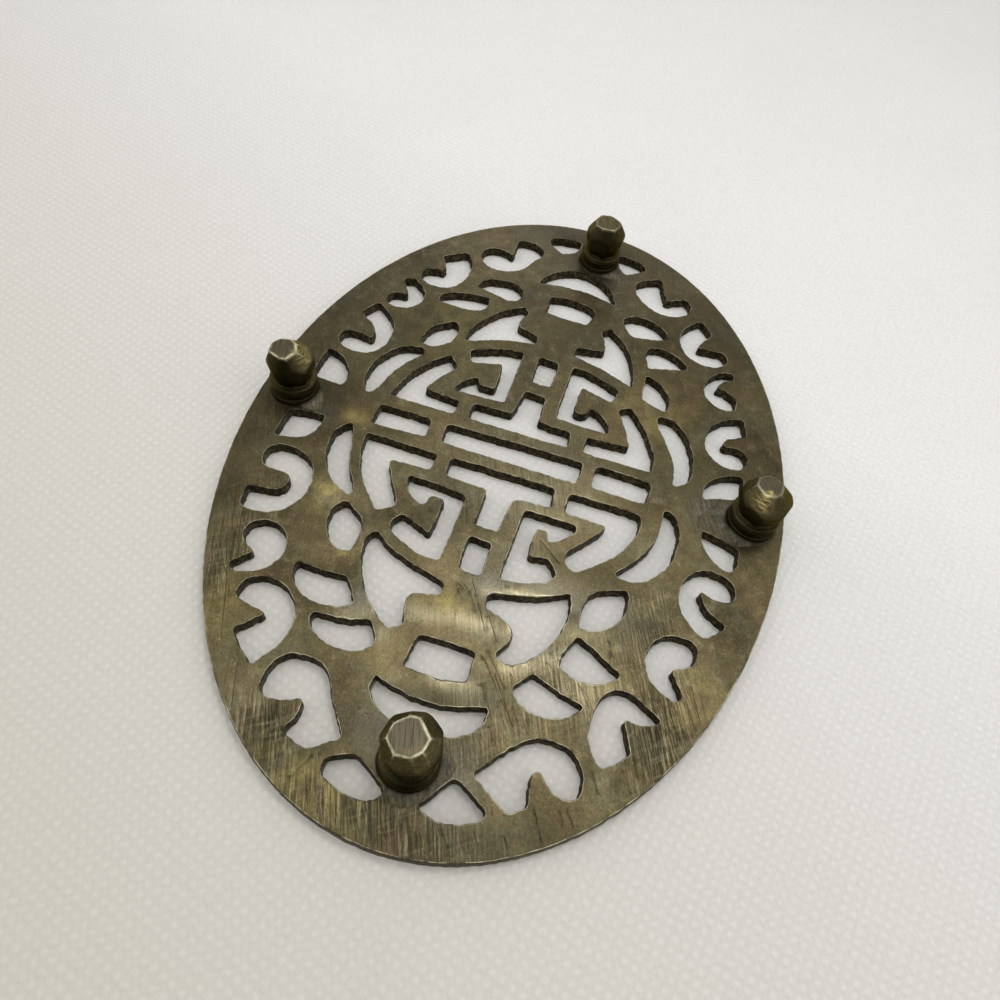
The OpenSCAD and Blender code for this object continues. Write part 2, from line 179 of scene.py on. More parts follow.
# Solder
SOLDER_RUN = 0.45
LEAST_RUN = 0.1
RUN_CLEAR = 0.3
RUN_PASSES = 3
RUN_RAG = 0.35
RUN_RAG_TURNS = (2.2, 6)
FINE_STEP = 0.2
SOLDER_CLIMB = 0.7
CLIMB_RAG = 0.5
CLIMB_RAG_TURNS = 1.6
CLIMB_SEED = 40
SOLDER_SKIN = 0.12
SOLDER_LUMP = 0.8
SOLDER_LUMP_SIZE = 1.3
LUMP_SEED = 60
SOLDER_BITE = 0.06
SOLDER_SUNK = 0.25
SOLDER_STEPS = 120
SOLDER_RINGS = 12

# Stage: how far the cloth clears the serving face and tucks under it, and how far the grounds reach
CLOTH_GAP = 0.02
CLOTH_TUCK = 0.25
CLOTH_REACH = (1, 4, 30)
CLOTH_DOT = 1.6
CLOTH_HEADING = math.radians(16.6)
SHADE_HEADING = math.radians(28)
TABLE_REACH = 30000

# Linear colours
PATINA_DARK = (0.055, 0.045, 0.021)
PATINA = (0.148, 0.121, 0.056)
# Rubbed brass, also the colour of the painted sheen round the near bat
WORN_AND_SHEEN = (0.5, 0.435, 0.268)
RUSSET = (0.15, 0.1, 0.052)
OLIVE = (0.125, 0.116, 0.072)
TIP_BROWN = (0.128, 0.11, 0.076)
# Rubbed golden brass, bright enough to stand as a painted glint on the feet
FOOT_GOLD_GLINT = (0.7, 0.57, 0.23)
GOLD = (0.41, 0.335, 0.11)
# Bright rubbed brass for ridges and edges, also painted glints along the plate's edges
RUBBED_AND_GLINT = (0.92, 0.86, 0.6)
GRAZING = (0.8, 0.72, 0.45)
STEELY = (0.19, 0.18, 0.155)
# Near black: dirty sawn metal, also painted shade on the walls and along the edges
SAWN_AND_SHADE = (0.02, 0.016, 0.009)
# Near black: dirt, and painted shade on the feet and round their joins
DIRT_AND_SHADE = (0.013, 0.0105, 0.0045)
SOLDER_GREY = (0.14, 0.128, 0.094)
THIN_SOLDER = (0.12, 0.1, 0.053)
CLOTH_WHITE = (0.84, 0.83, 0.81)
# Painted shade that the cloth takes towards one corner
CLOTH_PAINTED_SHADE = (0.62, 0.59, 0.52)
# Painted shade between the cloth's raised dots
CLOTH_HOLLOW_SHADE = (0.434, 0.413, 0.364)
CLOTH_FIBRE = (0.465, 0.4425, 0.39)
TABLE_WHITE = (0.78, 0.775, 0.76)
HORIZON = (0.67, 0.665, 0.655)
ROOM_BELOW = (0.47, 0.47, 0.465)
ROOM_ABOVE = (0.85, 0.85, 0.84)
ROOM_BEHIND = (0.05, 0.05, 0.05)

# Places on the plate that handling changed, and places of painted sheen and painted shade: along, across,
# reach along, reach across, strength
# Polish, and painted sheen: the small spots trace a bright painted band round the near bat
POLISH_AND_SHEEN_SPOTS = [
    (38.4, 7.6, 1.6, 1.6, 0.7), (38.6, 4.6, 1.3, 2, 0.9), (37.5, 1.5, 1.4, 2.2, 0.6),
    (37.2, -1.5, 1.4, 2.2, 0.75), (37.2, -5, 1.4, 2.2, 0.85), (36.3, -9.3, 1.6, 1.2, 0.8),
    (30.9, -4.5, 0.9, 2.5, 0.8), (29.4, -8, 0.8, 2.5, 0.9), (28.9, -11.5, 0.8, 2.5, 0.9),
    (28.4, -15.5, 0.8, 2.5, 0.8), (48.6, -1, 1.1, 2.5, 0.9), (47.8, -4.6, 1.1, 2, 0.8),
    (43, -10.8, 1.3, 2, 0.9), (41.5, -13.8, 1.3, 2, 0.9), (39.5, -16.8, 1.4, 2, 0.9), (38, -20, 1.6, 2, 0.7),
    (41.4, 14.3, 1.4, 1.6, 0.8), (44, 10.7, 1.6, 1.5, 0.7), (43, -24, 3, 5, 0.5), (33, -20, 3, 4, 0.4),
    (28, 20, 3, 4, 0.3), (38, 0, 8, 12, 0.1), (8, -9, 8, 9, 0.4), (0, 0, 18, 18, 0.22), (60, 27, 4, 4, 0.3),
    (22, 29.5, 3, 3, 0.6), (33, 27, 4, 3, 0.1), (43, 17.7, 2.2, 2.2, 0.7), (50, -6.5, 2.5, 2.5, 0.3),
    (54.7, -9.7, 3, 3, 0.2), (20, 24, 3, 3, 0.2),
]
GOLD_SPOTS = [
    (22, 30, 3, 3.5, 1.0), (32, 24, 2, 3, 0.7), (3, 33, 2, 3, 0.6), (35, 3, 2.5, 5, 0.6),
    (40, -42, 6, 4, 0.3), (-30, 22, 10, 8, 0.28), (-20, -24, 10, 8, 0.3),
    (70, 12, 4, 10, 0.4), (48, 38, 8, 4, 0.35),
]
# Dirt and pits, with painted shade round the feet's joins and on part of the near rim
DIRT_AND_SHADE_SPOTS = [
    (55, -31.5, 1.3, 1, 0.9), (45, -40, 1.2, 1.6, 0.9), (32, 1.5, 1.2, 1.2, 0.6), (-70, 2, 6, 16, 0.8),
    (0.8, 46.6, 7, 7, 0.8), (-0.4, -46.4, 6, 7, 0.75), (63, -1, 7, 8, 0.8), (-63, -2, 6, 6, 0.7),
    (-55, -35, 18, 12, 0.3), (26, 50, 18, 5, 0.5), (-22, 50, 14, 5, 0.35), (73, 5, 4, 12, 0.45),
    (-37, 0, 7, 7, 0.35), (66.5, -25, 6, 8, 0.9), (-23, 34, 10, 8, 0.4), (0, 38, 10, 5, 0.25),
    (-12, -40, 14, 9, 0.25), (70, -14, 4, 7, 0.45), (20.3, -13.8, 3, 4, 0.4), (30.7, -30.6, 4, 4, 0.25),
    (59.5, 10, 3, 3, 0.3), (21, -21, 4, 5, 0.65), (50.5, 0, 4, 5, 0.35), (-33, 22, 7, 6, 0.3),
]
STEELY_SPOTS = [
    (40, 16.5, 3, 2, 0.7), (30, -3, 3, 3, 0.8), (27, -14, 4, 8, 0.6), (38, -14, 3, 6, 0.4),
    (58, 4, 5, 5, 0.5), (0, -39, 4, 4, 0.9), (5, 40, 4, 3, 0.5), (-58, -5, 4, 4, 0.5), (63, -8, 5, 4, 0.6),
    (28, -29, 4, 4, 0.25),
]
SCUFF_SPOTS = [
    (47, -37, 10, 6, 1.0), (63, 22, 5, 6, 0.9), (38, 41, 15, 5, 0.8), (71, 2, 5, 18, 0.9),
    (36, -4, 6, 9, 0.2), (55, -8, 8, 8, 0.5), (44, -20, 8, 8, 0.7), (8, 0, 16, 14, 0.35),
    (0, 47, 12, 5, 0.6), (28, -32, 9, 8, 0.5), (0, -39, 5, 5, 0.7),
]
# Where dishes stood on the serving face, rubbed brighter, and brightened more as a painted sheen
SERVED_SPOTS = [(0, 0, 70, 50, 0.55), (30, 12, 14, 10, 0.25), (-34, -8, 16, 12, 0.25)]
SERVED_SCUFF = 0.4
# Single scratches in the underside: along and across at one end, along and across at the other, width
SCRATCHES = [
    (24.8, 46.8, 53.7, 34.4, 0.22), (36.6, 45, 50.5, 38.5, 0.14), (56.3, 30.3, 62.2, 27.9, 0.18),
    (60.5, 22.3, 67.6, 18.1, 0.3), (60.7, 22.7, 64.5, 20.5, 0.2), (60.8, 23.2, 65.3, 20.7, 0.2),
    (60.6, 21.5, 62.7, 20.3, 0.16), (65.1, 12.4, 72.9, 9.1, 0.22), (68.7, 12.8, 72.2, 10.9, 0.2),
    (65.8, 13.3, 69.6, 14.9, 0.12), (62.6, -20.7, 66.5, -22.8, 0.2), (61.3, -25.4, 62.9, -26.6, 0.18),
    (67.5, -17.4, 69, -18.4, 0.22), (69.5, -8.5, 71.3, -10.1, 0.22), (68.5, -13.2, 69.7, -14, 0.18),
    (28.8, 0.2, 37.7, -5, 0.2), (35.2, -5, 40.3, -8.4, 0.16), (42.5, -6.4, 48.5, -11.3, 0.14),
    (44.8, -9.1, 51.8, -14, 0.16), (46.9, -7.6, 50.2, -9.3, 0.13), (53, -10.6, 54.7, -11.7, 0.15),
    (34.6, -37.6, 44.3, -43.1, 0.22), (36.1, -40.6, 42.3, -43.1, 0.16), (44.9, -35.3, 49.3, -36.9, 0.2),
    (46.1, -36.9, 49, -38.7, 0.2), (46.9, -33.3, 51.1, -35.5, 0.2), (50.6, -33.9, 53, -34.7, 0.16),
    (54.8, -27.9, 57.3, -29.2, 0.14), (32.7, -25.8, 34.9, -26.7, 0.16), (-17.5, 48.3, -15.7, 45.4, 0.16),
    (31, 1.9, 31.6, 0.8, 0.4), (32.2, 1.6, 32.6, 1.4, 0.4), (30.9, 0.7, 31.2, 0.4, 0.35),
]
# Fields of scratches: along, across, reach along, reach across, count, heading, its spread, shortest, longest
SCRATCH_FIELDS = [
    (68, 9, 4, 14, 22, -22, 6, 2, 7), (48, -37, 7, 5, 26, -31, 8, 2, 7), (66, -18, 4, 9, 12, -30, 5, 1.5, 4),
    (48, -12, 7, 5, 12, -36, 6, 2, 7), (38, 42, 14, 4, 10, -24, 5, 3, 9), (61, 22, 5, 4, 8, -27, 6, 2, 5),
    (30, -8, 5, 7, 8, -34, 10, 1.5, 4), (38, -22, 6, 6, 10, -45, 14, 1.5, 4),
    (8, 0, 14, 14, 10, -40, 20, 2, 6), (0, 46, 12, 5, 10, -16, 12, 2, 6),
    (-20, 40, 20, 8, 8, -25, 20, 2, 6), (-30, -30, 25, 15, 8, -30, 25, 2, 6),
]
FIELD_SEED = 17
FIELD_WIDTHS = (0.1, 0.2)
FIELD_DEPTHS = (0.3, 0.9)
SCRATCH_SEED = 18
SCRATCH_STEP = 0.8
SCRATCH_DEPTH = 0.016
SCRATCH_SHARE = 0.8
SCRATCH_STRAY = 0.04
SCRATCH_WIDTHS = (0.7, 1.2)
SCRATCH_END = 0.4
SCRATCH_CLEAR = 0.25
# Shallow dishes in the underside, or swellings below 0: along, across, reach along, reach across, depth
DISHES = [
    (35.8, 0, 2.4, 6, -0.3), (47.5, 7, 2.2, 4, 0.25), (43.5, -17, 2, 6, 0.34), (29, -18.5, 2, 4, 0.3),
    (50.4, 0, 1.8, 6, 0.28), (33, 21.5, 2, 3, 0.2),
]

# Each foot: its filing, then heading, spread and strength of a golden painted glint, of painted shade on one
# side (on knob, on neck) and of solder runs
FEET = {
    "front": {
        "seed": 21, "turn": 0, "knob": 1.02, "knob_shift": (-0.5, -0.2),
        "tip": 1.08, "tip_shift": (-0.4, 0.4),
        "gold_and_glint": (325, 60, 0.2), "shaded_side": (343, 70, 0.35, 0.95), "ridges": 0.85,
        "runs": [(268, 45, 3.0), (350, 40, 1.8)],
    },
    "back": {
        "seed": 22, "turn": -0.3, "knob": 1.0, "knob_shift": (0, 0),
        "tip": 1.05, "tip_shift": (0, 0),
        "gold_and_glint": (200, 40, 0.1), "shaded_side": (345, 70, 0.9, 0.55), "ridges": 0.3,
        "runs": [(295, 35, 2.4)],
    },
    "left": {
        "seed": 23, "turn": -0.3, "knob": 1.0, "knob_shift": (0, 0),
        "tip": 0.95, "tip_shift": (0.3, 0.9),
        "gold_and_glint": (262, 38, 0.45), "shaded_side": (352, 60, 1.0, 0.8), "ridges": 0.7,
        "runs": [(303, 40, 3.0)],
    },
    "right": {
        "seed": 24, "turn": 0, "knob": 1.04, "knob_shift": (0, 0),
        "tip": 0.88, "tip_shift": (-0.7, 0.6),
        "gold_and_glint": (18, 26, 1.0), "shaded_side": (335, 60, 0.5, 0.75), "ridges": 0.28,
        "runs": [(66, 48, 6.0)],
    },
}

# Lamps: place, aim, width and watts
LAMPS = {
    "key_below": ((-215, 38, -430), (33, 0, 11), 150, 0.115),
    "overhead": ((-130, -60, -450), (10, 0, 11), 160, 0.42),
    "edge_light": ((60, 48, -450), (40, 0, 11), 100, 0.28),
    "far_window": ((-650, 130, -150), (0, 0, 11), 220, 0.42),
    "left_below": ((60, 420, -330), (0, 0, 11), 700, 0.72),
    "right_below": ((60, -420, -330), (0, 0, 11), 700, 0.8),
    "key_above": ((-150, -150, 480), (0, 0, 13), 350, 0.8),
}


# Shapes on the plate

def underside_outlines(node):
    """The rim and the openings of a flat node, with the metal on the left of each."""
    solid = bmesh.new()
    solid.from_mesh(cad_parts[node].data)
    bmesh.ops.remove_doubles(solid, verts=solid.verts, dist=WELD * MM)
    low = min(v.co.z for v in solid.verts)
    flat = {f for f in solid.faces if max(v.co.z for v in f.verts) < low + WELD * MM}
    onward = {}
    for face in solid.faces:
        if face not in flat:
            continue
        for side in face.loops:
            if sum(other in flat for other in side.edge.link_faces) == 1:
                onward[side.link_loop_next.vert] = side.vert
    outlines = []
    while onward:
        first, point = onward.popitem()
        walk = [first]
        while point != first:
            walk.append(point)
            point = onward.pop(point)
        outlines.append(np.array([v.co.xy for v in walk]) / MM)
    solid.free()
    return outlines


def evened(outline, step):
    """The outline again, with points at equal steps."""
    closed = np.vstack([outline, outline[:1]])
    run = np.concatenate([[0], np.cumsum(np.linalg.norm(np.diff(closed, axis=0), axis=1))])
    count = max(FEWEST_POINTS, round(run[-1] / step))
    at = np.linspace(0, run[-1], count, endpoint=False)
    return np.column_stack([np.interp(at, run, closed[:, axis]) for axis in (0, 1)])


def eased(values, passes):
    """Values round a closed outline, each drawn towards its neighbours."""
    for _ in range(passes):
        values = (np.roll(values, 1, 0) + 2 * values + np.roll(values, -1, 0)) / 4
    return values


def swept(outline):
    """The outline with its long curves eased into one sweep, and its tight corners kept."""
    ahead = np.roll(outline, -TURN_SPAN, 0) - outline
    behind = outline - np.roll(outline, TURN_SPAN, 0)
    cross = behind[:, 0] * ahead[:, 1] - behind[:, 1] * ahead[:, 0]
    turn = np.abs(np.arctan2(cross, np.sum(ahead * behind, axis=1)))
    sharp = np.clip((turn - GENTLE_TURN) / (SHARP_TURN - GENTLE_TURN), 0, 1)
    beside = np.maximum(np.roll(sharp, CORNER_SPAN), np.roll(sharp, -CORNER_SPAN))
    sharp = eased(np.maximum(sharp, beside), TURN_PASSES)[:, None]
    return sharp * eased(outline, CORNER_PASSES) + (1 - sharp) * eased(outline, SWEEP_PASSES)


def into_metal(outline):
    """Unit vectors that point from an outline into the metal."""
    along = np.roll(outline, -1, 0) - np.roll(outline, 1, 0)
    along /= np.linalg.norm(along, axis=1, keepdims=True)
    return np.column_stack([-along[:, 1], along[:, 0]])


def waves(points, height, size, seed):
    """Smooth noise of about that height to both sides, with waves of that size."""
    depth = SEED_STEP * seed
    return height * np.array([noise.noise(Vector((x / size, y / size, depth))) for x, y in points[:, :2]])


def stray(dice, most):
    """A random step to either side."""
    return dice.uniform(-most, most)


def heaped(points, places, total):
    """A total at each point with a soft heap added at each place."""
    for x, y, reach_x, reach_y, strength in places:
        far = ((points[:, 0] - x) / reach_x) ** 2 + ((points[:, 1] - y) / reach_y) ** 2
        total = total + strength * np.exp(-far)
    return total


def spots(points, places):
    """How much each point is inside the given places, at most 1."""
    return np.minimum(heaped(points, places, 0), 1)


def near_tree(points):
    """A tree to search flat points by nearness."""
    tree = kdtree.KDTree(len(points))
    for index, (x, y) in enumerate(points):
        tree.insert((x, y, 0), index)
    tree.balance()
    return tree


def clear_of(points, edge, least):
    """Whether each point lies further than the least from all points of an edge."""
    tree = near_tree(edge)
    return np.array([tree.find((x, y, 0))[2] > least for x, y in points])


def room_beside(outlines, normals):
    """Half the width of the metal beside each point, smoothed along its outline."""
    points = np.vstack(outlines)
    facing = np.vstack(normals)
    tree = near_tree(points)
    half = np.full(len(points), WIDEST_ROOM)
    for index, (x, y) in enumerate(points):
        for _, other, gap in tree.find_range((x, y, 0), 2 * WIDEST_ROOM):
            if gap < WELD:
                continue
            across = (points[other] - points[index]) / gap
            if across @ facing[index] > FACING_SHARE and across @ facing[other] < -FACING_SHARE:
                half[index] = min(half[index], gap / 2)
    rooms = []
    for outline in outlines:
        own = half[:len(outline)]
        half = half[len(outline):]
        least = np.minimum(own, np.minimum(np.roll(own, 1), np.roll(own, -1)))
        rooms.append(np.minimum(eased(least, ROOM_PASSES), own))
    return rooms


def in_metal(points, outlines):
    """Whether each point lies in the metal: a line to its right then crosses an odd number of outlines."""
    start = np.vstack(outlines)
    end = np.vstack([np.roll(outline, -1, 0) for outline in outlines])
    rising = end[:, 1] > start[:, 1]
    crossed = []
    for part in np.array_split(points, max(1, len(points) // POINTS_AT_ONCE)):
        x = part[:, :1]
        y = part[:, 1:]
        spans = (start[:, 1] > y) != (end[:, 1] > y)
        left = (end[:, 0] - start[:, 0]) * (y - start[:, 1]) - (x - start[:, 0]) * (end[:, 1] - start[:, 1])
        crossed.append(np.sum(spans & ((left > 0) == rising), axis=1))
    return np.concatenate(crossed) % 2 == 1


def scratch_ends():
    """The listed scratches and those strewn over the fields: both ends, width and depth share."""
    dice = random.Random(FIELD_SEED)
    ends = [(*scratch, 1) for scratch in SCRATCHES]
    for x, y, reach_x, reach_y, count, heading, spread, shortest, longest in SCRATCH_FIELDS:
        for _ in range(count):
            at = np.array((x + stray(dice, reach_x), y + stray(dice, reach_y)))
            turn = math.radians(heading + stray(dice, spread))
            half = dice.uniform(shortest, longest) / 2 * np.array((math.cos(turn), math.sin(turn)))
            width = dice.uniform(*FIELD_WIDTHS)
            ends.append((*(at - half), *(at + half), width, dice.uniform(*FIELD_DEPTHS)))
    return ends


def scratch_points(outlines):
    """Points down the sides and middles of the scratches with depth shares, and the cuts that join them."""
    dice = random.Random(SCRATCH_SEED)
    points = []
    for x0, y0, x1, y1, width, depth in scratch_ends():
        start = np.array((x0, y0))
        along = np.array((x1, y1)) - start
        length = math.hypot(*along)
        across = np.array((-along[1], along[0])) / length
        steps = max(2, round(length / SCRATCH_STEP))
        for k in range(steps + 1):
            middle = start + along * (k / steps) + across * stray(dice, SCRATCH_STRAY)
            half = SCRATCH_SHARE * width / 2 * dice.uniform(*SCRATCH_WIDTHS)
            if k in (0, steps):
                half *= SCRATCH_END
            for side in (-1, 0, 1):
                points.append((*(middle + across * half * side), depth if side == 0 else 0, k))
    points = np.array(points)
    clear = in_metal(points[:, :2], outlines)
    clear &= clear_of(points[:, :2], np.vstack(outlines), SCRATCH_CLEAR)
    whole = np.repeat(clear.reshape(-1, 3).all(axis=1), 3)
    place = np.cumsum(whole) - 1
    cuts = [(place[i], place[i + 3]) for i in range(len(points) - 3)
            if whole[i] and whole[i + 3] and points[i + 3, 3] == points[i, 3] + 1]
    return points[whole, :3], cuts


def fill_points(outlines, scores):
    """Points inside the metal in staggered, shaken rows, clear of the outlines and scratches."""
    dice = random.Random(FILL_SEED)
    reach = np.abs(np.vstack(outlines)).max(0)
    rows = []
    for row, y in enumerate(np.arange(-reach[1], reach[1], FILL_STEP * math.sin(math.pi / 3))):
        for x in np.arange(-reach[0] + FILL_STEP / 2 * (row % 2), reach[0], FILL_STEP):
            rows.append((x + stray(dice, FILL_SHAKE), y + stray(dice, FILL_SHAKE)))
    points = np.array(rows)
    points = points[in_metal(points, outlines)]
    return points[clear_of(points, np.vstack(outlines + [scores[:, :2]]), FILL_CLEAR)]


def triangulated(outlines):
    """Points, triangles and scratch depths of the metal, and the point that each outline point became."""
    edge = np.vstack(outlines)
    scores, cuts = scratch_points(outlines)
    inner = fill_points(outlines, scores)
    sides = []
    start = 0
    for outline in outlines:
        count = len(outline)
        sides += [(start + i, start + (i + 1) % count) for i in range(count)]
        start += count
    sides += [(int(start + a), int(start + b)) for a, b in cuts]
    corners = [Vector(p) for p in np.vstack([edge, scores[:, :2], inner])]
    found = geometry.delaunay_2d_cdt(corners, sides, [], 0, WELD / 10)
    points = np.array([tuple(p) for p in found[0]])
    triangles = np.array(found[2])
    kept = triangles[in_metal(points[triangles].mean(axis=1), outlines)]
    became = {}
    scored = np.zeros(len(points))
    for index, sources in enumerate(found[3]):
        for source in sources:
            became[source] = index
            if start <= source < start + len(scores):
                scored[index] = max(scored[index], scores[source - start, 2])
    return points, kept, scored, [became[i] for i in range(len(edge))]


def underside_rise(points):
    """How far the underside lies off its flat, above it where the metal was dished."""
    return heaped(points, DISHES, sum(waves(points, *wave) for wave in UNDER_WAVES))


def serving_rise(points):
    """How far the serving face lies off its flat, always below it."""
    return sum((waves(points, *wave) for wave in SERVING_WAVES), SERVING_LOW)


def is_rim(outline):
    """Whether an outline is the plate's rim and not an opening."""
    return np.ptp(outline[:, 0]) > RIM_LENGTH


def saw_wander(outline):
    """How far the saw strayed from an outline at each point: the rim was filed smooth again."""
    wobble = waves(outline, *SAW_WOBBLE)
    if is_rim(outline):
        return wobble
    return wobble + waves(outline, *SAW_RAG)


def side_rings(outline, normal, room, low, high):
    """Rings from the underside's flat face over its edge, up the sawn wall and over the top edge."""
    dressed = spots(outline, POLISH_AND_SHEEN_SPOTS)
    soft = (EDGE_SOFT + (BAT_SOFT - EDGE_SOFT) * dressed ** 2) * (1 + waves(outline, *EDGE_WAVE))
    soft = np.minimum(soft, ROOM_SHARE * room / 2)
    top_soft = np.minimum(TOP_SOFT * (1 + waves(outline, *TOP_WAVE)), ROOM_SHARE * room / 2)
    face = np.minimum(np.maximum(soft, top_soft) + FACE_STRIP, ROOM_SHARE * room)
    under = low + underside_rise(outline)
    over = high + serving_rise(outline)
    wall_low = under + EDGE_DROP * soft
    wall_high = over - top_soft
    ragged = np.minimum(waves(outline, *TOP_RAG), RAG_SHARE * room) - DRAFT
    levels = [(face, under)]
    for turn in np.radians(EDGE_TURNS):
        levels.append((soft * (1 - math.sin(turn)), under + EDGE_DROP * soft * (1 - math.cos(turn))))
    steps = len(SAW_MARKS) + 1
    for k, mark in enumerate(SAW_MARKS, 1):
        inset = waves(outline, *mark) - DRAFT * k / steps
        levels.append((inset, wall_low + (wall_high - wall_low) * k / steps))
    levels += [
        (ragged, wall_high),
        (ragged + TOP_TUCK * top_soft, over - TOP_TUCK * top_soft),
        (ragged + top_soft, over),
    ]
    return [np.column_stack([outline + normal * inset[:, None], z]) for inset, z in levels]


def ring_faces(a, b):
    """The faces between two closed rings, given by the numbers of their points."""
    return list(zip(a, np.roll(a, -1), np.roll(b, -1), b))


def plate_mesh():
    """Points, faces, edge marks of rubbing and painted light, wall share and scratch depth of the pierced
    plate.
    """
    low, high = (corner.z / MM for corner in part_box("plate"))
    outlines = [swept(evened(o, OUTLINE_STEP)) for o in underside_outlines("plate")]
    outlines = [o + into_metal(o) * saw_wander(o)[:, None] for o in outlines]
    normals = [eased(into_metal(o), 1) for o in outlines]
    rooms = room_beside(outlines, normals)
    stacks = [side_rings(o, n, r, low, high) for o, n, r in zip(outlines, normals, rooms)]

    face_points, triangles, scored, became = triangulated([stack[0][:, :2] for stack in stacks])
    under = np.column_stack([face_points, low + underside_rise(face_points) + SCRATCH_DEPTH * scored])
    over = np.column_stack([face_points, high + serving_rise(face_points)])
    count = len(face_points)
    points = [under, over]
    faces = [tuple(t[::-1]) for t in triangles] + [tuple(t + count) for t in triangles]
    edge_wear_and_light = [np.zeros(2 * count)]
    wall = [np.zeros(2 * count)]

    start = 2 * count
    seen = 0
    for stack in stacks:
        size = len(stack[0])
        rough = RIM_ROUGH if is_rim(stack[0]) else 1
        flat = np.array(became[seen:seen + size])
        seen += size
        rows = [flat]
        for level, ring in enumerate(stack[1:], 1):
            rows.append(start + np.arange(size))
            start += size
            points.append(ring)
            edge_wear_and_light.append(np.full(size, RING_EDGE_WEAR_AND_LIGHT[level]))
            wall.append(np.full(size, rough * RING_WALL_DIRT_AND_SHADE[level]))
        rows.append(flat + count)
        for a, b in zip(rows, rows[1:]):
            faces += ring_faces(a, b)
    score = np.concatenate([scored, np.zeros(start - count)])
    return np.vstack(points), faces, np.concatenate(edge_wear_and_light), np.concatenate(wall), score


# Pieces

def put(name, data):
    """A new object in the scene."""
    made = bpy.data.objects.new(name, data)
    bpy.context.scene.collection.objects.link(made)
    return made


def new_piece(name, points, faces, material):
    """A smooth mesh object from points in millimetres."""
    mesh = bpy.data.meshes.new(name)
    mesh.from_pydata((np.asarray(points) * MM).tolist(), [], [tuple(int(i) for i in f) for f in faces])
    mesh.update()
    mesh.shade_smooth()
    mesh.materials.append(material)
    return put(name, mesh)


def seat(piece, node):
    """The piece stands for a node of the solids: it hangs on the root body, and the node is hidden."""
    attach(piece, "root")
    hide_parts(node)


def paint(piece, name, values):
    """A value at each point, for the material to read."""
    attribute = piece.data.attributes.new(name, "FLOAT", "POINT")
    attribute.data.foreach_set("value", np.asarray(values, np.float32))


def make_plate(material):
    """The pierced plate with its rubbing, dirt, painted sheen and painted shade set on its points."""
    points, faces, edge_wear_and_light, wall, score = plate_mesh()
    piece = new_piece("pierced_plate", points, faces, material)
    under = points[:, 2] < points[:, 2].mean()
    paint(piece, "edge", edge_wear_and_light)
    paint(piece, "wall", wall)
    paint(piece, "score", score)
    # Polish with a painted sheen on the underside; on the serving face, rubbing brightened as a painted sheen
    paint(piece, "polish_and_sheen", np.where(under, spots(points, POLISH_AND_SHEEN_SPOTS), spots(points, SERVED_SPOTS)))
    paint(piece, "scuff", np.where(under, spots(points, SCUFF_SPOTS), SERVED_SCUFF))
    # Golden tone, dark places of dirt and painted shade, and steely places on the underside
    for name, places in (("gold_and_glint", GOLD_SPOTS), ("dark", DIRT_AND_SHADE_SPOTS), ("steely", STEELY_SPOTS)):
        paint(piece, name, under * spots(points, places))
    seat(piece, "plate")


def filed_plane(turn, low, high):
    """A plane that faces the heading turn through two (radius, height) points: its normal and its reach."""
    (low_r, low_z), (high_r, high_z) = low, high
    facing = Matrix.Rotation(turn, 3, "Z")
    normal = facing @ Vector((high_z - low_z, 0, low_r - high_r)).normalized()
    return normal, normal @ (facing @ Vector((low_r, 0, low_z - KNOB_MIDDLE)))


def shifted(shift, turn):
    """How much further out a shift puts the side that faces the heading turn."""
    return shift[0] * math.cos(turn) + shift[1] * math.sin(turn)


def filed_planes(dice, look):
    """Planes filed by hand: the tip, sloping ones round it and upright ones half a step round from them."""
    planes = [(Vector((0, 0, -1)), KNOB_MIDDLE)]
    step = 2 * math.pi / FACETS
    for k in range(FACETS):
        turn = look["turn"] + step * k + stray(dice, SLOPE_TURN_STRAY)
        tip = look["tip"] * TIP_R + shifted(look["tip_shift"], turn) + stray(dice, TIP_STRAY)
        widest = look["knob"] * KNOB_R + shifted(look["knob_shift"], turn)
        planes.append(filed_plane(turn, (tip, 0), (widest, SLOPE_H + stray(dice, SLOPE_STRAY))))
        turn = look["turn"] + step * (k + 0.5) + stray(dice, SIDE_TURN_STRAY)
        side = look["knob"] * KNOB_R + shifted(look["knob_shift"], turn) + dice.uniform(*SIDE_STRAY)
        waist = SLOPE_H + GIRDLE_H + stray(dice, SLOPE_STRAY)
        planes.append(filed_plane(turn, (side, 0), (side, waist)))
        planes.append(filed_plane(turn, (side, waist), (ROOT_R + stray(dice, ROOT_STRAY), KNOB_H)))
    return planes


def ways_round(steps):
    """Equal turns round a foot, and the ways in which they point."""
    turns = 2 * np.pi * np.arange(steps) / steps
    return turns, np.column_stack([np.cos(turns), np.sin(turns)])


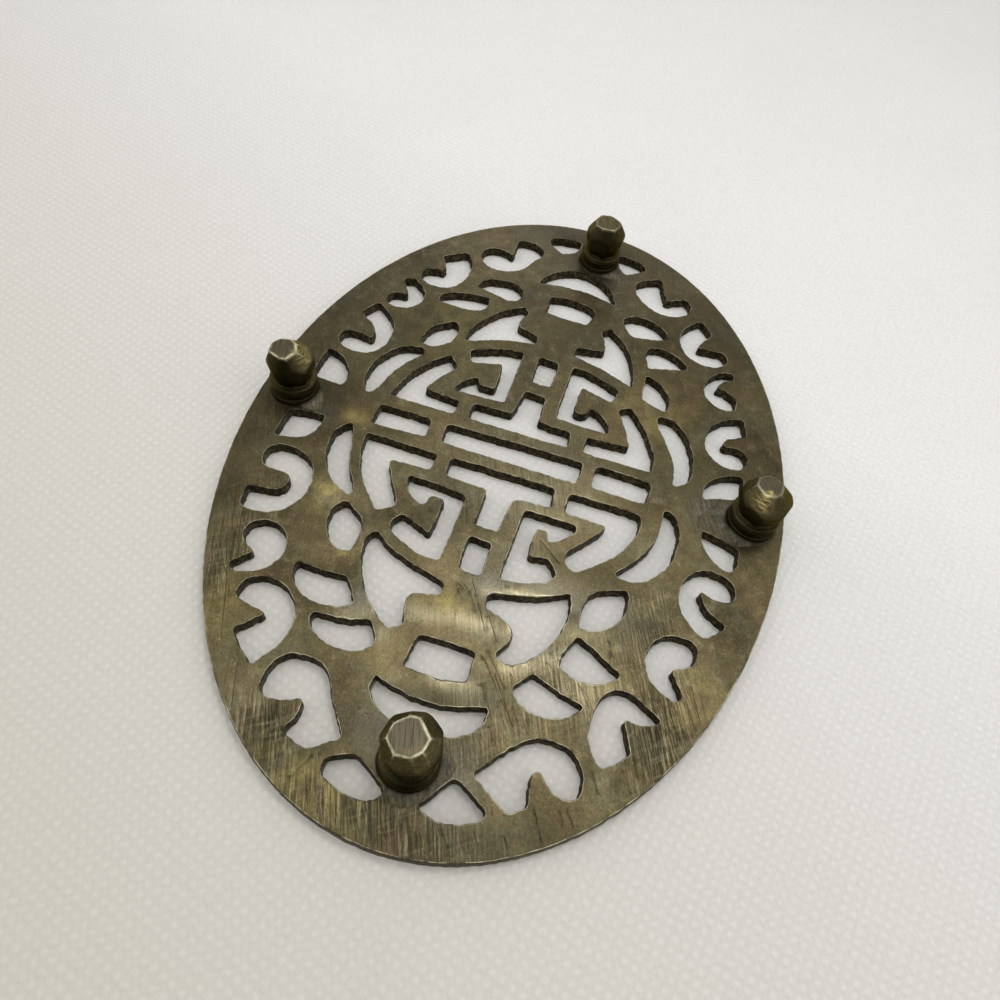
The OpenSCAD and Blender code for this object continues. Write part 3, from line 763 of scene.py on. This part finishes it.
def knob_rows(dice, planes):
    """Rows of points from a knob's tip to its root, each with its nearness to a ridge and its tone."""
    normals = np.array([normal for normal, _ in planes])
    reaches = np.array([reach for _, reach in planes])
    tones = np.array([dice.random() for _ in planes])
    last = math.pi - math.atan2(ROOT_R, KNOB_H - KNOB_MIDDLE)
    _, flat = ways_round(TURNED_STEPS)
    rows = []
    for row in range(1, KNOB_ROWS + 1):
        lean = last * row / KNOB_ROWS
        ways = np.column_stack([math.sin(lean) * flat, np.full(TURNED_STEPS, -math.cos(lean))])
        facing = ways @ normals.T
        reach = np.where(facing > LEAST_FACING, reaches / np.maximum(facing, LEAST_FACING), np.inf)
        nearest = np.sort(reach, axis=1)
        crowding = np.exp((nearest[:, :1] - reach) / RIDGE_SOFT).sum(axis=1)
        soft = nearest[:, 0] - RIDGE_SOFT * np.log(crowding)
        points = ways * soft[:, None] + (0, 0, KNOB_MIDDLE)
        marks = [FILE_MARK * noise.noise(Vector(p) / FILE_MARK_SIZE) for p in points]
        points += ways * np.array(marks)[:, None]
        points[:, 2] = np.maximum(points[:, 2], 0)
        at_tip = (np.argsort(reach, axis=1)[:, :2] == 0).any(axis=1)
        width = np.where(at_tip, TIP_RIDGE_WIDTH, RIDGE_WIDTH)
        ridge = np.clip(1 - (nearest[:, 1] - nearest[:, 0]) / width, 0, 1)
        rows.append((points, ridge, tones[reach.argmin(axis=1)]))
    return rows


def turned_ring(radius, low, high, shade_and_darkening):
    """Radius, height and darkening over one turned ring with soft edges, darker on its side towards the
    plate.
    """
    side = []
    for turn in [math.pi / 2 * k / RING_STEPS for k in range(RING_STEPS + 1)]:
        out = radius - RING_EDGE * (1 - math.sin(turn))
        side.append((out, low + RING_EDGE * (1 - math.cos(turn)), shade_and_darkening))
    for out, z, _ in side[::-1]:
        side.append((out, high + low - z, shade_and_darkening + RING_TOP_DARKENING))
    return side


def neck_side():
    """Radius, height and darkening down the turned neck, from under the knob to the plate."""
    groove_z = KNOB_H + COLLAR_H
    base_z = groove_z + GROOVE_H
    top_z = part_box("foot_front")[1].z / MM
    groove = [
        (GROOVE_R + GROOVE_FLARE, groove_z + GROOVE_CLEAR, GROOVE_DARKENING),
        (GROOVE_R, groove_z + GROOVE_H / 2, 1),
        (GROOVE_R + GROOVE_FLARE, base_z - GROOVE_CLEAR, GROOVE_DARKENING),
    ]
    collar = turned_ring(COLLAR_R, KNOB_H, groove_z, COLLAR_DARKENING)
    return collar + groove + turned_ring(BASE_R, base_z, top_z, BASE_DARKENING)


def neck_rows(dice):
    """Rows of points down the turned neck, each row with its darkening."""
    phase = dice.uniform(0, NECK_PHASES)
    _, ways = ways_round(TURNED_STEPS)
    rows = []
    for radius, z, shade_and_darkening in neck_side():
        places = [Vector((NECK_RUB_TURNS * x + phase, NECK_RUB_TURNS * y, z / NECK_RUB_H)) for x, y in ways]
        rub = np.array([NECK_RUB * noise.noise(place) for place in places])
        rows.append((np.column_stack([ways * (radius + rub)[:, None], np.full(TURNED_STEPS, z)]), shade_and_darkening))
    return rows


def side_spot(points, heading, spread, strength):
    """How much each point of a foot is on the side that faces a heading."""
    apart = (np.degrees(np.arctan2(points[:, 1], points[:, 0])) - heading + 180) % 360 - 180
    return strength * np.exp(-(apart / spread) ** 2)


def foot_wear_and_painted_light(points, knob, neck, look):
    """Rubbed ridges, tone, darkening with painted shade, and golden painted glints of a foot."""
    height = points[:, 2]
    plain = np.zeros(TURNED_STEPS * len(neck))
    ridge = look["ridges"] * np.concatenate([[0]] + [row[1] for row in knob] + [plain])
    tone = np.concatenate([[TIP_TONE]] + [row[2] for row in knob] + [plain])
    # Painted shade: the knob darkens towards its root
    rise = height[:-len(plain)] - KNOB_SHADE_H
    knob_shade = KNOB_ROOT_SHADE * np.clip(rise / KNOB_SHADE_REACH, 0, 1)
    shade_and_darkening = np.concatenate([knob_shade] + [np.full(TURNED_STEPS, row[1]) for row in neck])
    # A golden painted glint near the tip, on the side that faces one heading
    gold_and_glint = side_spot(points, *look["gold_and_glint"]) * np.exp(-((height - GOLD_GLINT_H) / GOLD_GLINT_REACH) ** 2)
    # Painted shade: the side of the foot that faces one heading is darkened
    heading, spread, on_knob, on_neck = look["shaded_side"]
    shaded_side = side_spot(points, heading, spread, np.where(height < KNOB_H, on_knob, on_neck))
    shade_and_darkening = np.maximum(shade_and_darkening, shaded_side * np.clip((height - SHADED_SIDE_H) / SHADED_SIDE_REACH, 0, 1))
    return {"edge": ridge, "tone": tone, "shade_and_darkening": shade_and_darkening, "gold_and_glint": gold_and_glint}


def make_foot(name, look, material):
    """One foot as a grid of rows from its tip to the plate."""
    dice = random.Random(look["seed"])
    knob = knob_rows(dice, filed_planes(dice, look))
    neck = neck_rows(dice)
    points = np.vstack([[(0, 0, 0)]] + [row[0] for row in knob] + [row[0] for row in neck])
    faces = [(0, 1 + (k + 1) % TURNED_STEPS, 1 + k) for k in range(TURNED_STEPS)]
    rows = np.arange(1, len(points)).reshape(-1, TURNED_STEPS)
    for a, b in zip(rows, rows[1:]):
        faces += ring_faces(a, b)
    faces.append(tuple(rows[-1]))
    low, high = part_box(name)
    middle = (low + high) / 2 / MM
    piece = new_piece(name + "_filed", points + (middle.x, middle.y, 0), faces, material)
    for label, values in foot_wear_and_painted_light(points, knob, neck, look).items():
        paint(piece, label, values)
    seat(piece, name)


def free_run(edge, middle, way):
    """How far a line from a foot's middle runs over metal before it comes to an opening or the rim."""
    off = edge - middle
    along = off @ way
    across = np.abs(off[:, 0] * way[1] - off[:, 1] * way[0])
    return along[(along > 0) & (across < RUN_CLEAR)].min() - RUN_CLEAR


def solder_reach(turns, ways, middle, runs, seed, outlines):
    """How far the solder ran out each way: further in its runs, and never over an opening or the rim."""
    edge = np.vstack(outlines)
    free = np.array([free_run(edge, middle, way) for way in ways]) - BASE_R
    wanted = np.full(len(turns), SOLDER_RUN)
    for heading, spread, reach in runs:
        apart = (turns - math.radians(heading) + np.pi) % (2 * np.pi) - np.pi
        wanted = np.maximum(wanted, reach * np.exp(-(apart / math.radians(spread)) ** 2))
    wanted *= sum((waves(often * ways, RUN_RAG, 1, seed) for often in RUN_RAG_TURNS), 1)
    return np.maximum(np.minimum(eased(np.minimum(wanted, free), RUN_PASSES), free), LEAST_RUN)


def make_solder(name, foot, seed, runs, outlines, material):
    """A collar of solder that wets the foot and feathers out over the plate."""
    low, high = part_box(foot)
    middle = np.array((low + high).xy) / 2 / MM
    turns, ways = ways_round(SOLDER_STEPS)
    run = solder_reach(turns, ways, middle, runs, seed, outlines)
    lobe = np.clip((run - SOLDER_RUN) / SOLDER_RUN, 0, 1)
    climb = SOLDER_CLIMB * (1 + waves(CLIMB_RAG_TURNS * ways, CLIMB_RAG, 1, seed + CLIMB_SEED))
    points = []
    thin = []
    for share in np.linspace(0, 1, SOLDER_RINGS):
        flat = middle + ways * (BASE_R - SOLDER_BITE + run * share)[:, None]
        lumps = 1 + waves(flat, SOLDER_LUMP, SOLDER_LUMP_SIZE, seed + LUMP_SEED)
        depth = climb * (1 - share) ** 3 + SOLDER_SKIN * lumps * (1 - share ** 2)
        points.append(np.column_stack([flat, high.z / MM + underside_rise(flat) - depth]))
        thin.append(np.full(SOLDER_STEPS, share))
    for ring in (points[-1], points[0]):
        points.append(np.column_stack([ring[:, :2], np.full(SOLDER_STEPS, high.z / MM + SOLDER_SUNK)]))
        thin.append(np.ones(SOLDER_STEPS))
    rows = np.arange(len(points) * SOLDER_STEPS).reshape(-1, SOLDER_STEPS)
    faces = []
    for a, b in zip(rows, np.roll(rows, -1, 0)):
        faces += zip(np.roll(a, -1), np.roll(b, -1), b, a)
    piece = new_piece(name + "_run", np.vstack(points), faces, material)
    paint(piece, "thin", np.concatenate(thin))
    paint(piece, "lobe", np.tile(lobe, len(points)))
    seat(piece, name)


# Materials

def add(tree, kind, inputs=None, **settings):
    """A node with its settings, and its sockets linked or set."""
    made = tree.nodes.new("ShaderNode" + kind)
    for key, value in settings.items():
        setattr(made, key, value)
    for key, value in (inputs or {}).items():
        if isinstance(value, bpy.types.NodeSocket):
            tree.links.new(value, made.inputs[key])
        elif isinstance(value, tuple) and len(value) == 3 and made.inputs[key].type == "RGBA":
            made.inputs[key].default_value = (*value, 1)
        else:
            made.inputs[key].default_value = value
    return made


def new_material(name):
    """An empty material and its node tree."""
    material = bpy.data.materials.new(name)
    material.use_nodes = True
    material.node_tree.nodes.clear()
    return material, material.node_tree


def moved(place, kind="POINT", **inputs):
    """A place shifted, turned or scaled."""
    return add(place.id_data, "Mapping", {"Vector": place, **inputs}, vector_type=kind).outputs[0]


def millimetres(tree):
    """The place on the object in millimetres."""
    return moved(add(tree, "TexCoord").outputs["Object"], Scale=(1 / MM, 1 / MM, 1 / MM))


def attribute(tree, name):
    """A value painted on the points."""
    return add(tree, "Attribute", attribute_name=name).outputs["Fac"]


def grain(place, size, detail=3, roughness=0.55):
    """Cloudy noise of a size."""
    inputs = {"Vector": place, "Scale": 1 / size, "Detail": detail, "Roughness": roughness}
    return add(place.id_data, "TexNoise", inputs).outputs[0]


def lines(place, heading, length, width, seed, detail=2):
    """Noise drawn out along a heading."""
    start = (seed, 2 * seed, 0)
    turn = (0, 0, math.radians(heading))
    drawn = moved(place, "TEXTURE", Location=start, Rotation=turn, Scale=(length, width, length))
    return grain(drawn, 1, detail)


def scratches(place, heading, length, width, seed):
    """Thin lines along a heading: where drawn-out noise passes its middle value."""
    off = maths("SUBTRACT", lines(place, heading, length, width, seed, 0), 0.5)
    return mapped(maths("ABSOLUTE", off, 0.0), 0.025, 0.09, 1, 0)


def mapped(value, low, high, to_low=0, to_high=1):
    """A value that goes from one span to another."""
    inputs = {"Value": value, "From Min": low, "From Max": high, "To Min": to_low, "To Max": to_high}
    return add(value.id_data, "MapRange", inputs).outputs[0]


def maths(operation, a, b):
    """Two values joined by an operation."""
    return add(a.id_data, "Math", {0: a, 1: b}, operation=operation).outputs[0]


def times(a, b):
    """One value times another."""
    return maths("MULTIPLY", a, b)


def blend(share, a, b):
    """A colour that goes from a to b with a share."""
    return add(share.id_data, "Mix", {0: share, 6: a, 7: b}, data_type="RGBA").outputs[2]


def washed(colour, tone, value, *spans):
    """A colour that takes on a tone as a value goes through its span."""
    return blend(mapped(value, *spans), colour, tone)


def bumped(height, distance, normal=None):
    """A relief of that depth in millimetres, laid on another one."""
    inputs = {"Height": height, "Strength": 1.0, "Distance": distance * MM}
    if normal:
        inputs["Normal"] = normal
    return add(height.id_data, "Bump", inputs).outputs[0]


def surface(tree, **inputs):
    """The shader that a material ends in."""
    named = {key.replace("_", " "): value for key, value in inputs.items()}
    shader = add(tree, "BsdfPrincipled", named)
    add(tree, "OutputMaterial", {"Surface": shader.outputs[0]})


def patina(tree, place, cloud, mottle):
    """Mottled brown with russet and olive tinges, and steely and golden places."""
    tinge = grain(place, 9, 3, 0.6)
    colour = washed(PATINA_DARK, PATINA, cloud, 0.32, 0.66)
    colour = washed(colour, RUSSET, tinge, 0.5, 0.68, 0, 0.5)
    colour = washed(colour, OLIVE, tinge, 0.48, 0.34, 0, 0.5)
    colour = washed(colour, PATINA_DARK, mottle, 0.5, 0.3, 0, 0.5)
    colour = washed(colour, WORN_AND_SHEEN, mottle, 0.55, 0.75, 0, 0.22)
    colour = washed(colour, STEELY, attribute(tree, "steely"), 0, 1, 0, 0.65)
    gold_and_glint = times(attribute(tree, "gold_and_glint"), mapped(grain(place, 4), 0.38, 0.6))
    return blend(gold_and_glint, colour, GOLD)


def handled(colour, polish_and_sheen, scuff, brushed, speckle):
    """A colour rubbed bright where polished and given a painted sheen, streaked by brushing and speckled."""
    # Painted sheen: polished places take the rubbed brass colour
    colour = blend(times(polish_and_sheen, mapped(brushed, 0.3, 0.7, 0.3, 0.6)), colour, WORN_AND_SHEEN)
    streaks = mapped(scuff, 0.15, 1, 0.02, 0.5)
    colour = blend(times(mapped(brushed, 0.46, 0.32), streaks), colour, SAWN_AND_SHADE)
    colour = blend(times(mapped(brushed, 0.56, 0.72), streaks), colour, WORN_AND_SHEEN)
    colour = washed(colour, SAWN_AND_SHADE, speckle, 0.54, 0.7, 0, 0.5)
    return washed(colour, WORN_AND_SHEEN, speckle, 0.42, 0.28, 0, 0.18)


def scratch_marks(tree, place, scuff, mottle):
    """Where scratches hold dirt, and where thin ones show clean metal."""
    patchy = mapped(mottle, 0.4, 0.55)
    fanned = times(scratches(place, -35, 12, 0.8, 21), patchy)
    scored = maths("MAXIMUM", scratches(place, -23, 14, 0.7, 8), fanned)
    scored = times(scored, mapped(scuff, 0.1, 0.9, 0.05, 0.8))
    single = times(attribute(tree, "score"), mapped(mottle, 0.3, 0.5, 0.5, 0.95))
    thin = times(scratches(place, 52, 12, 1.6, 15), patchy)
    return maths("MAXIMUM", scored, single), times(thin, mapped(scuff, 0, 1, 0, 0.12))


def sawn_edges(colour, place, edge, wall, torn):
    """A colour with dark places of dirt and painted shade and bright painted glints on rubbed metal along the
    edges, and torn walls dark with dirt and painted shade.
    """
    along = grain(place, 3.2, 4, 0.7)
    # Dark patches along the edges: dirt with painted shade
    colour = blend(times(edge, mapped(along, 0.5, 0.36, 0, 0.5)), colour, SAWN_AND_SHADE)
    keen = mapped(edge, 0.5, 0.95)
    # Bright painted glints along the edges, in rubbed brass
    colour = blend(times(keen, mapped(along, 0.4, 0.64, 0, 0.6)), colour, RUBBED_AND_GLINT)
    # The walls: dark dirt with painted shade
    return blend(wall, colour, washed(SAWN_AND_SHADE, PATINA, torn, 0.46, 0.68))


def plate_brass():
    """Old sheet brass: mottled brown, rubbed bright with painted sheen and glints on edges and webs, darkened
    by dirt and painted shade in places, scratched, with sawn walls dark with dirt and painted shade.
    """
    material, tree = new_material("plate_brass_aged")
    place = millimetres(tree)
    edge, wall, polish_and_sheen, scuff = (attribute(tree, name) for name in ("edge", "wall", "polish_and_sheen", "scuff"))
    cloud = grain(place, 14, 4, 0.6)
    mottle = grain(place, 2.4, 4, 0.65)
    speckle = grain(place, 0.36, 2, 0.7)
    brushed = lines(place, -19, 8, 0.26, 3, 1)
    torn = grain(place, 0.8, 4, 0.75)
    scored, cleaned = scratch_marks(tree, place, scuff, mottle)

    colour = handled(patina(tree, place, cloud, mottle), polish_and_sheen, scuff, brushed, speckle)
    colour = blend(scored, colour, SAWN_AND_SHADE)
    colour = blend(cleaned, colour, WORN_AND_SHEEN)
    # Dark places: dirt, with painted shade round the feet's joins and on part of the near rim
    dark_and_shaded = times(attribute(tree, "dark"), mapped(mottle, 0.3, 0.6, 0.5, 1))
    colour = washed(colour, DIRT_AND_SHADE, dark_and_shaded, 0, 1, 0, 0.8)
    colour = sawn_edges(colour, place, edge, wall, torn)

    dull = mapped(cloud, 0.3, 0.7, 0.46, 0.37)
    dull = maths("SUBTRACT", dull, mapped(polish_and_sheen, 0, 1, 0, 0.07))
    dull = maths("ADD", dull, mapped(wall, 0, 1, 0, 0.35))

    relief = bumped(speckle, 0.02)
    relief = bumped(brushed, 0.006, relief)
    relief = bumped(mapped(scored, 0, 1, 1, 0), 0.05, relief)
    relief = bumped(times(torn, wall), 0.3, relief)
    surface(tree, Base_Color=colour, Metallic=0.9, Roughness=dull, Normal=relief)
    return material


def foot_brass():
    """Filed and turned brass: dark facets, ridges and tip rubbed here and there with painted glints, a golden
    painted glint on one side, painted shade on one side and at the knob's root, and darker neck rings and
    groove.
    """
    material, tree = new_material("foot_brass_aged")
    place = millimetres(tree)
    height = add(tree, "SeparateXYZ", {0: place}).outputs["Z"]
    tip = mapped(height, 0.06, 0.25, 1, 0)
    crown = mapped(height, 1.6, 4, 1, 0)
    speckle = grain(place, 0.5, 4, 0.7)
    patchy = mapped(grain(place, 1.7), 0.36, 0.55, 0.25, 1)
    brushed = lines(place, -17, 5, 0.2, 5)
    drawn = moved(place, "TEXTURE", Scale=(1.4, 1.4, 0.1))
    filed = grain(drawn, 1, 2)

    colour = washed(PATINA_DARK, PATINA, speckle, 0.42, 0.85)
    lit = times(crown, mapped(attribute(tree, "tone"), 0.5, 1, 0, 0.12))
    colour = blend(times(lit, mapped(filed, 0.4, 0.6)), colour, WORN_AND_SHEEN)
    colour = washed(colour, TIP_BROWN, tip, 0, 1, 0, 0.85)
    colour = blend(times(tip, mapped(brushed, 0.54, 0.4, 0, 0.5)), colour, DIRT_AND_SHADE)
    # Painted glint: golden rubbed brass on one side of the knob near the tip
    gold_and_glint = times(attribute(tree, "gold_and_glint"), mapped(filed, 0.42, 0.6, 0.05, 1))
    colour = blend(gold_and_glint, colour, FOOT_GOLD_GLINT)
    ridge = times(attribute(tree, "edge"), mapped(height, 0.25, 0.9, 1, 0.1))
    ridge = times(ridge, patchy)
    colour = blend(ridge, colour, RUBBED_AND_GLINT)
    # Darker neck rings and groove, and painted shade on one side and at the knob's root
    colour = blend(attribute(tree, "shade_and_darkening"), colour, DIRT_AND_SHADE)
    dull = mapped(speckle, 0.3, 0.7, 0.36, 0.52)
    dull = maths("SUBTRACT", dull, mapped(ridge, 0, 1, 0, 0.14))

    relief = bumped(speckle, 0.1)
    relief = bumped(times(filed, mapped(tip, 0, 1, 1, 0)), 0.1, relief)
    relief = bumped(times(brushed, tip), 0.03, relief)
    surface(tree, Base_Color=colour, Metallic=1.0, Specular_Tint=GRAZING, Roughness=dull, Normal=relief)
    return material


def solder_grey():
    """Soft solder gone dull: grey, darker where it climbs the foot and where it stays a narrow collar,
    stained and scratched where it thins out.
    """
    material, tree = new_material("solder_dull")
    place = millimetres(tree)
    pits = grain(place, 0.5, 4, 0.7)
    stain = grain(place, 2.2, 3)
    scratched = scratches(place, -28, 6, 0.7, 31)
    thin = attribute(tree, "thin")
    ragged = maths("ADD", thin, mapped(grain(place, 1.2), 0.3, 0.7, -0.4, 0.4))
    colour = washed(SOLDER_GREY, PATINA_DARK, stain, 0.4, 0.65)
    colour = washed(colour, THIN_SOLDER, ragged, 0.3, 0.9)
    # Darker where the run stays a narrow collar, and where it climbs the foot
    colour = washed(colour, DIRT_AND_SHADE, attribute(tree, "lobe"), 0, 1, 0.8, 0)
    colour = washed(colour, DIRT_AND_SHADE, pits, 0.48, 0.7, 0, 0.55)
    colour = washed(colour, DIRT_AND_SHADE, scratched, 0, 1, 0, 0.35)
    colour = washed(colour, DIRT_AND_SHADE, thin, 0.02, 0.25, 0.85, 0)
    dull = mapped(pits, 0.3, 0.7, 0.45, 0.65)
    surface(tree, Base_Color=colour, Metallic=0.75, Roughness=dull, Normal=bumped(pits, 0.06))
    return material


# Stage

def bond_dots(place):
    """Rows of soft dots, from 0 between them to 1 on them."""
    turned = moved(place, Rotation=(0, 0, -CLOTH_HEADING))
    inputs = {"Vector": turned, "Scale": math.pi / 10 / CLOTH_DOT, "Distortion": 0.6, "Detail": 1.0}
    rows = [add(place.id_data, "TexWave", inputs, bands_direction=axis) for axis in "XY"]
    return times(rows[0].outputs["Fac"], rows[1].outputs["Fac"])


def one_sided(name, colour, shade, dotted):
    """A pale ground that shows only from the side that its face looks to, with painted shade that darkens it
    towards one corner.
    """
    material, tree = new_material(name)
    place = millimetres(tree)
    turned = moved(place, Rotation=(0, 0, -SHADE_HEADING))
    towards = add(tree, "SeparateXYZ", {0: turned}).outputs["X"]
    # Painted shade: darker towards one corner
    toned = washed(colour, shade, towards, -60, 130)
    toned = washed(toned, shade, grain(place, 40, 3), 0.35, 0.7, 0, 0.08)
    inputs = {"Roughness": 0.9, "Specular IOR Level": 0.15}
    if dotted:
        dots = bond_dots(place)
        fibres = grain(place, 0.6, 3, 0.7)
        faded = mapped(towards, -70, 40, 0.05, 0.17)
        # Painted shade in the hollows between the dots, with the weave's pattern
        toned = blend(times(mapped(dots, 0.1, 0.7, 1, 0), faded), toned, CLOTH_HOLLOW_SHADE)
        toned = washed(toned, CLOTH_FIBRE, fibres, 0.42, 0.7, 0, 0.22)
        inputs["Normal"] = bumped(dots, 0.1)
    inputs["Base Color"] = toned
    ground = add(tree, "BsdfPrincipled", inputs)
    clear = add(tree, "BsdfTransparent")
    behind = add(tree, "NewGeometry").outputs["Backfacing"]
    shown = add(tree, "MixShader", {0: behind, 1: ground.outputs[0], 2: clear.outputs[0]})
    add(tree, "OutputMaterial", {"Surface": shown.outputs[0]})
    return material


def make_cloth(outlines, material):
    """A cloth on the serving face, seen from below in the openings and round the rim."""
    z = cad_box[1][2] / MM + CLOTH_GAP
    longest_first = sorted(outlines, key=lambda o: -np.ptp(o[:, 0]))
    rim, *openings = [outline + CLOTH_TUCK * into_metal(outline) for outline in longest_first]
    rows = np.arange(len(CLOTH_REACH) * len(rim)).reshape(-1, len(rim))
    faces = []
    for a, b in zip(rows, rows[1:]):
        faces += ring_faces(a, b)
    start = rows.size
    for opening in openings:
        faces.append(tuple(range(start, start + len(opening))))
        start += len(opening)
    points = np.vstack([rim * reach for reach in CLOTH_REACH] + openings)
    cloth = new_piece("cloth", np.column_stack([points, np.full(len(points), z)]), faces, material)
    cloth.visible_shadow = False
    cloth.visible_diffuse = False


def make_table(material):
    """A table under the feet, seen from above."""
    corners = [(x * TABLE_REACH, y * TABLE_REACH, 0) for x, y in ((-1, -1), (1, -1), (1, 1), (-1, 1))]
    table = new_piece("table", np.array(corners), [(0, 1, 2, 3)], material)
    table.visible_shadow = False
    table.visible_diffuse = False
    table.visible_glossy = False


def make_lamp(name, at, aim, size, watts):
    """A round lamp turned to its aim."""
    data = bpy.data.lights.new(name, "AREA")
    data.shape = "DISK"
    data.size = size * MM
    data.energy = watts
    lamp = put(name, data)
    lamp.location = Vector(at) * MM
    lamp.rotation_euler = (Vector(aim) - Vector(at)).to_track_quat("-Z", "Y").to_euler()


def make_world():
    """A soft pale room, brightest above, and dark behind the camera below."""
    world = bpy.data.worlds.new("soft_room")
    bpy.context.scene.world = world
    world.use_nodes = True
    tree = world.node_tree
    tree.nodes.clear()
    way = add(tree, "TexCoord").outputs["Generated"]
    rise = add(tree, "SeparateXYZ", {0: way}).outputs["Z"]
    below = washed(HORIZON, ROOM_BELOW, rise, -0.05, -0.95)
    above = washed(HORIZON, ROOM_ABOVE, rise, 0.02, 0.5)
    colour = washed(below, above, rise, -0.01, 0.01)
    near = add(tree, "VectorMath", {0: way, 1: CAMERA_BACK}, operation="DOT_PRODUCT").outputs["Value"]
    colour = washed(colour, ROOM_BEHIND, near, 0.85, 0.97)
    room = add(tree, "Background", {"Color": colour, "Strength": 1.0})
    add(tree, "OutputWorld", {"Surface": room.outputs[0]})


def make_camera():
    """The camera of the photograph."""
    data = bpy.data.cameras.new("camera")
    data.lens = LENS
    data.sensor_width = SENSOR
    data.clip_start = NEAREST * MM
    camera = put("camera", data)
    heading = Vector((math.cos(UP_HEADING), math.sin(UP_HEADING), 0))
    right = heading.cross(CAMERA_BACK).normalized()
    turned = Matrix((right, CAMERA_BACK.cross(right), CAMERA_BACK)).transposed().to_4x4()
    camera.matrix_world = Matrix.Translation(Vector(CAMERA_AT) * MM) @ turned
    bpy.context.scene.camera = camera


# The object and its stage

make_plate(plate_brass())

foot_material = foot_brass()
solder_material = solder_grey()
plate_edges = underside_outlines("plate")
fine_edges = [evened(outline, FINE_STEP) for outline in plate_edges]
for side, look in FEET.items():
    make_foot("foot_" + side, look, foot_material)
    make_solder("solder_" + side, "foot_" + side, look["seed"], look["runs"], fine_edges, solder_material)

make_cloth(plate_edges, one_sided("cloth_white", CLOTH_WHITE, CLOTH_PAINTED_SHADE, True))
make_table(one_sided("table_white", TABLE_WHITE, TABLE_WHITE, False))
for lamp, setting in LAMPS.items():
    make_lamp(lamp, *setting)
make_world()
make_camera()
bpy.context.scene.view_settings.view_transform = "Standard"
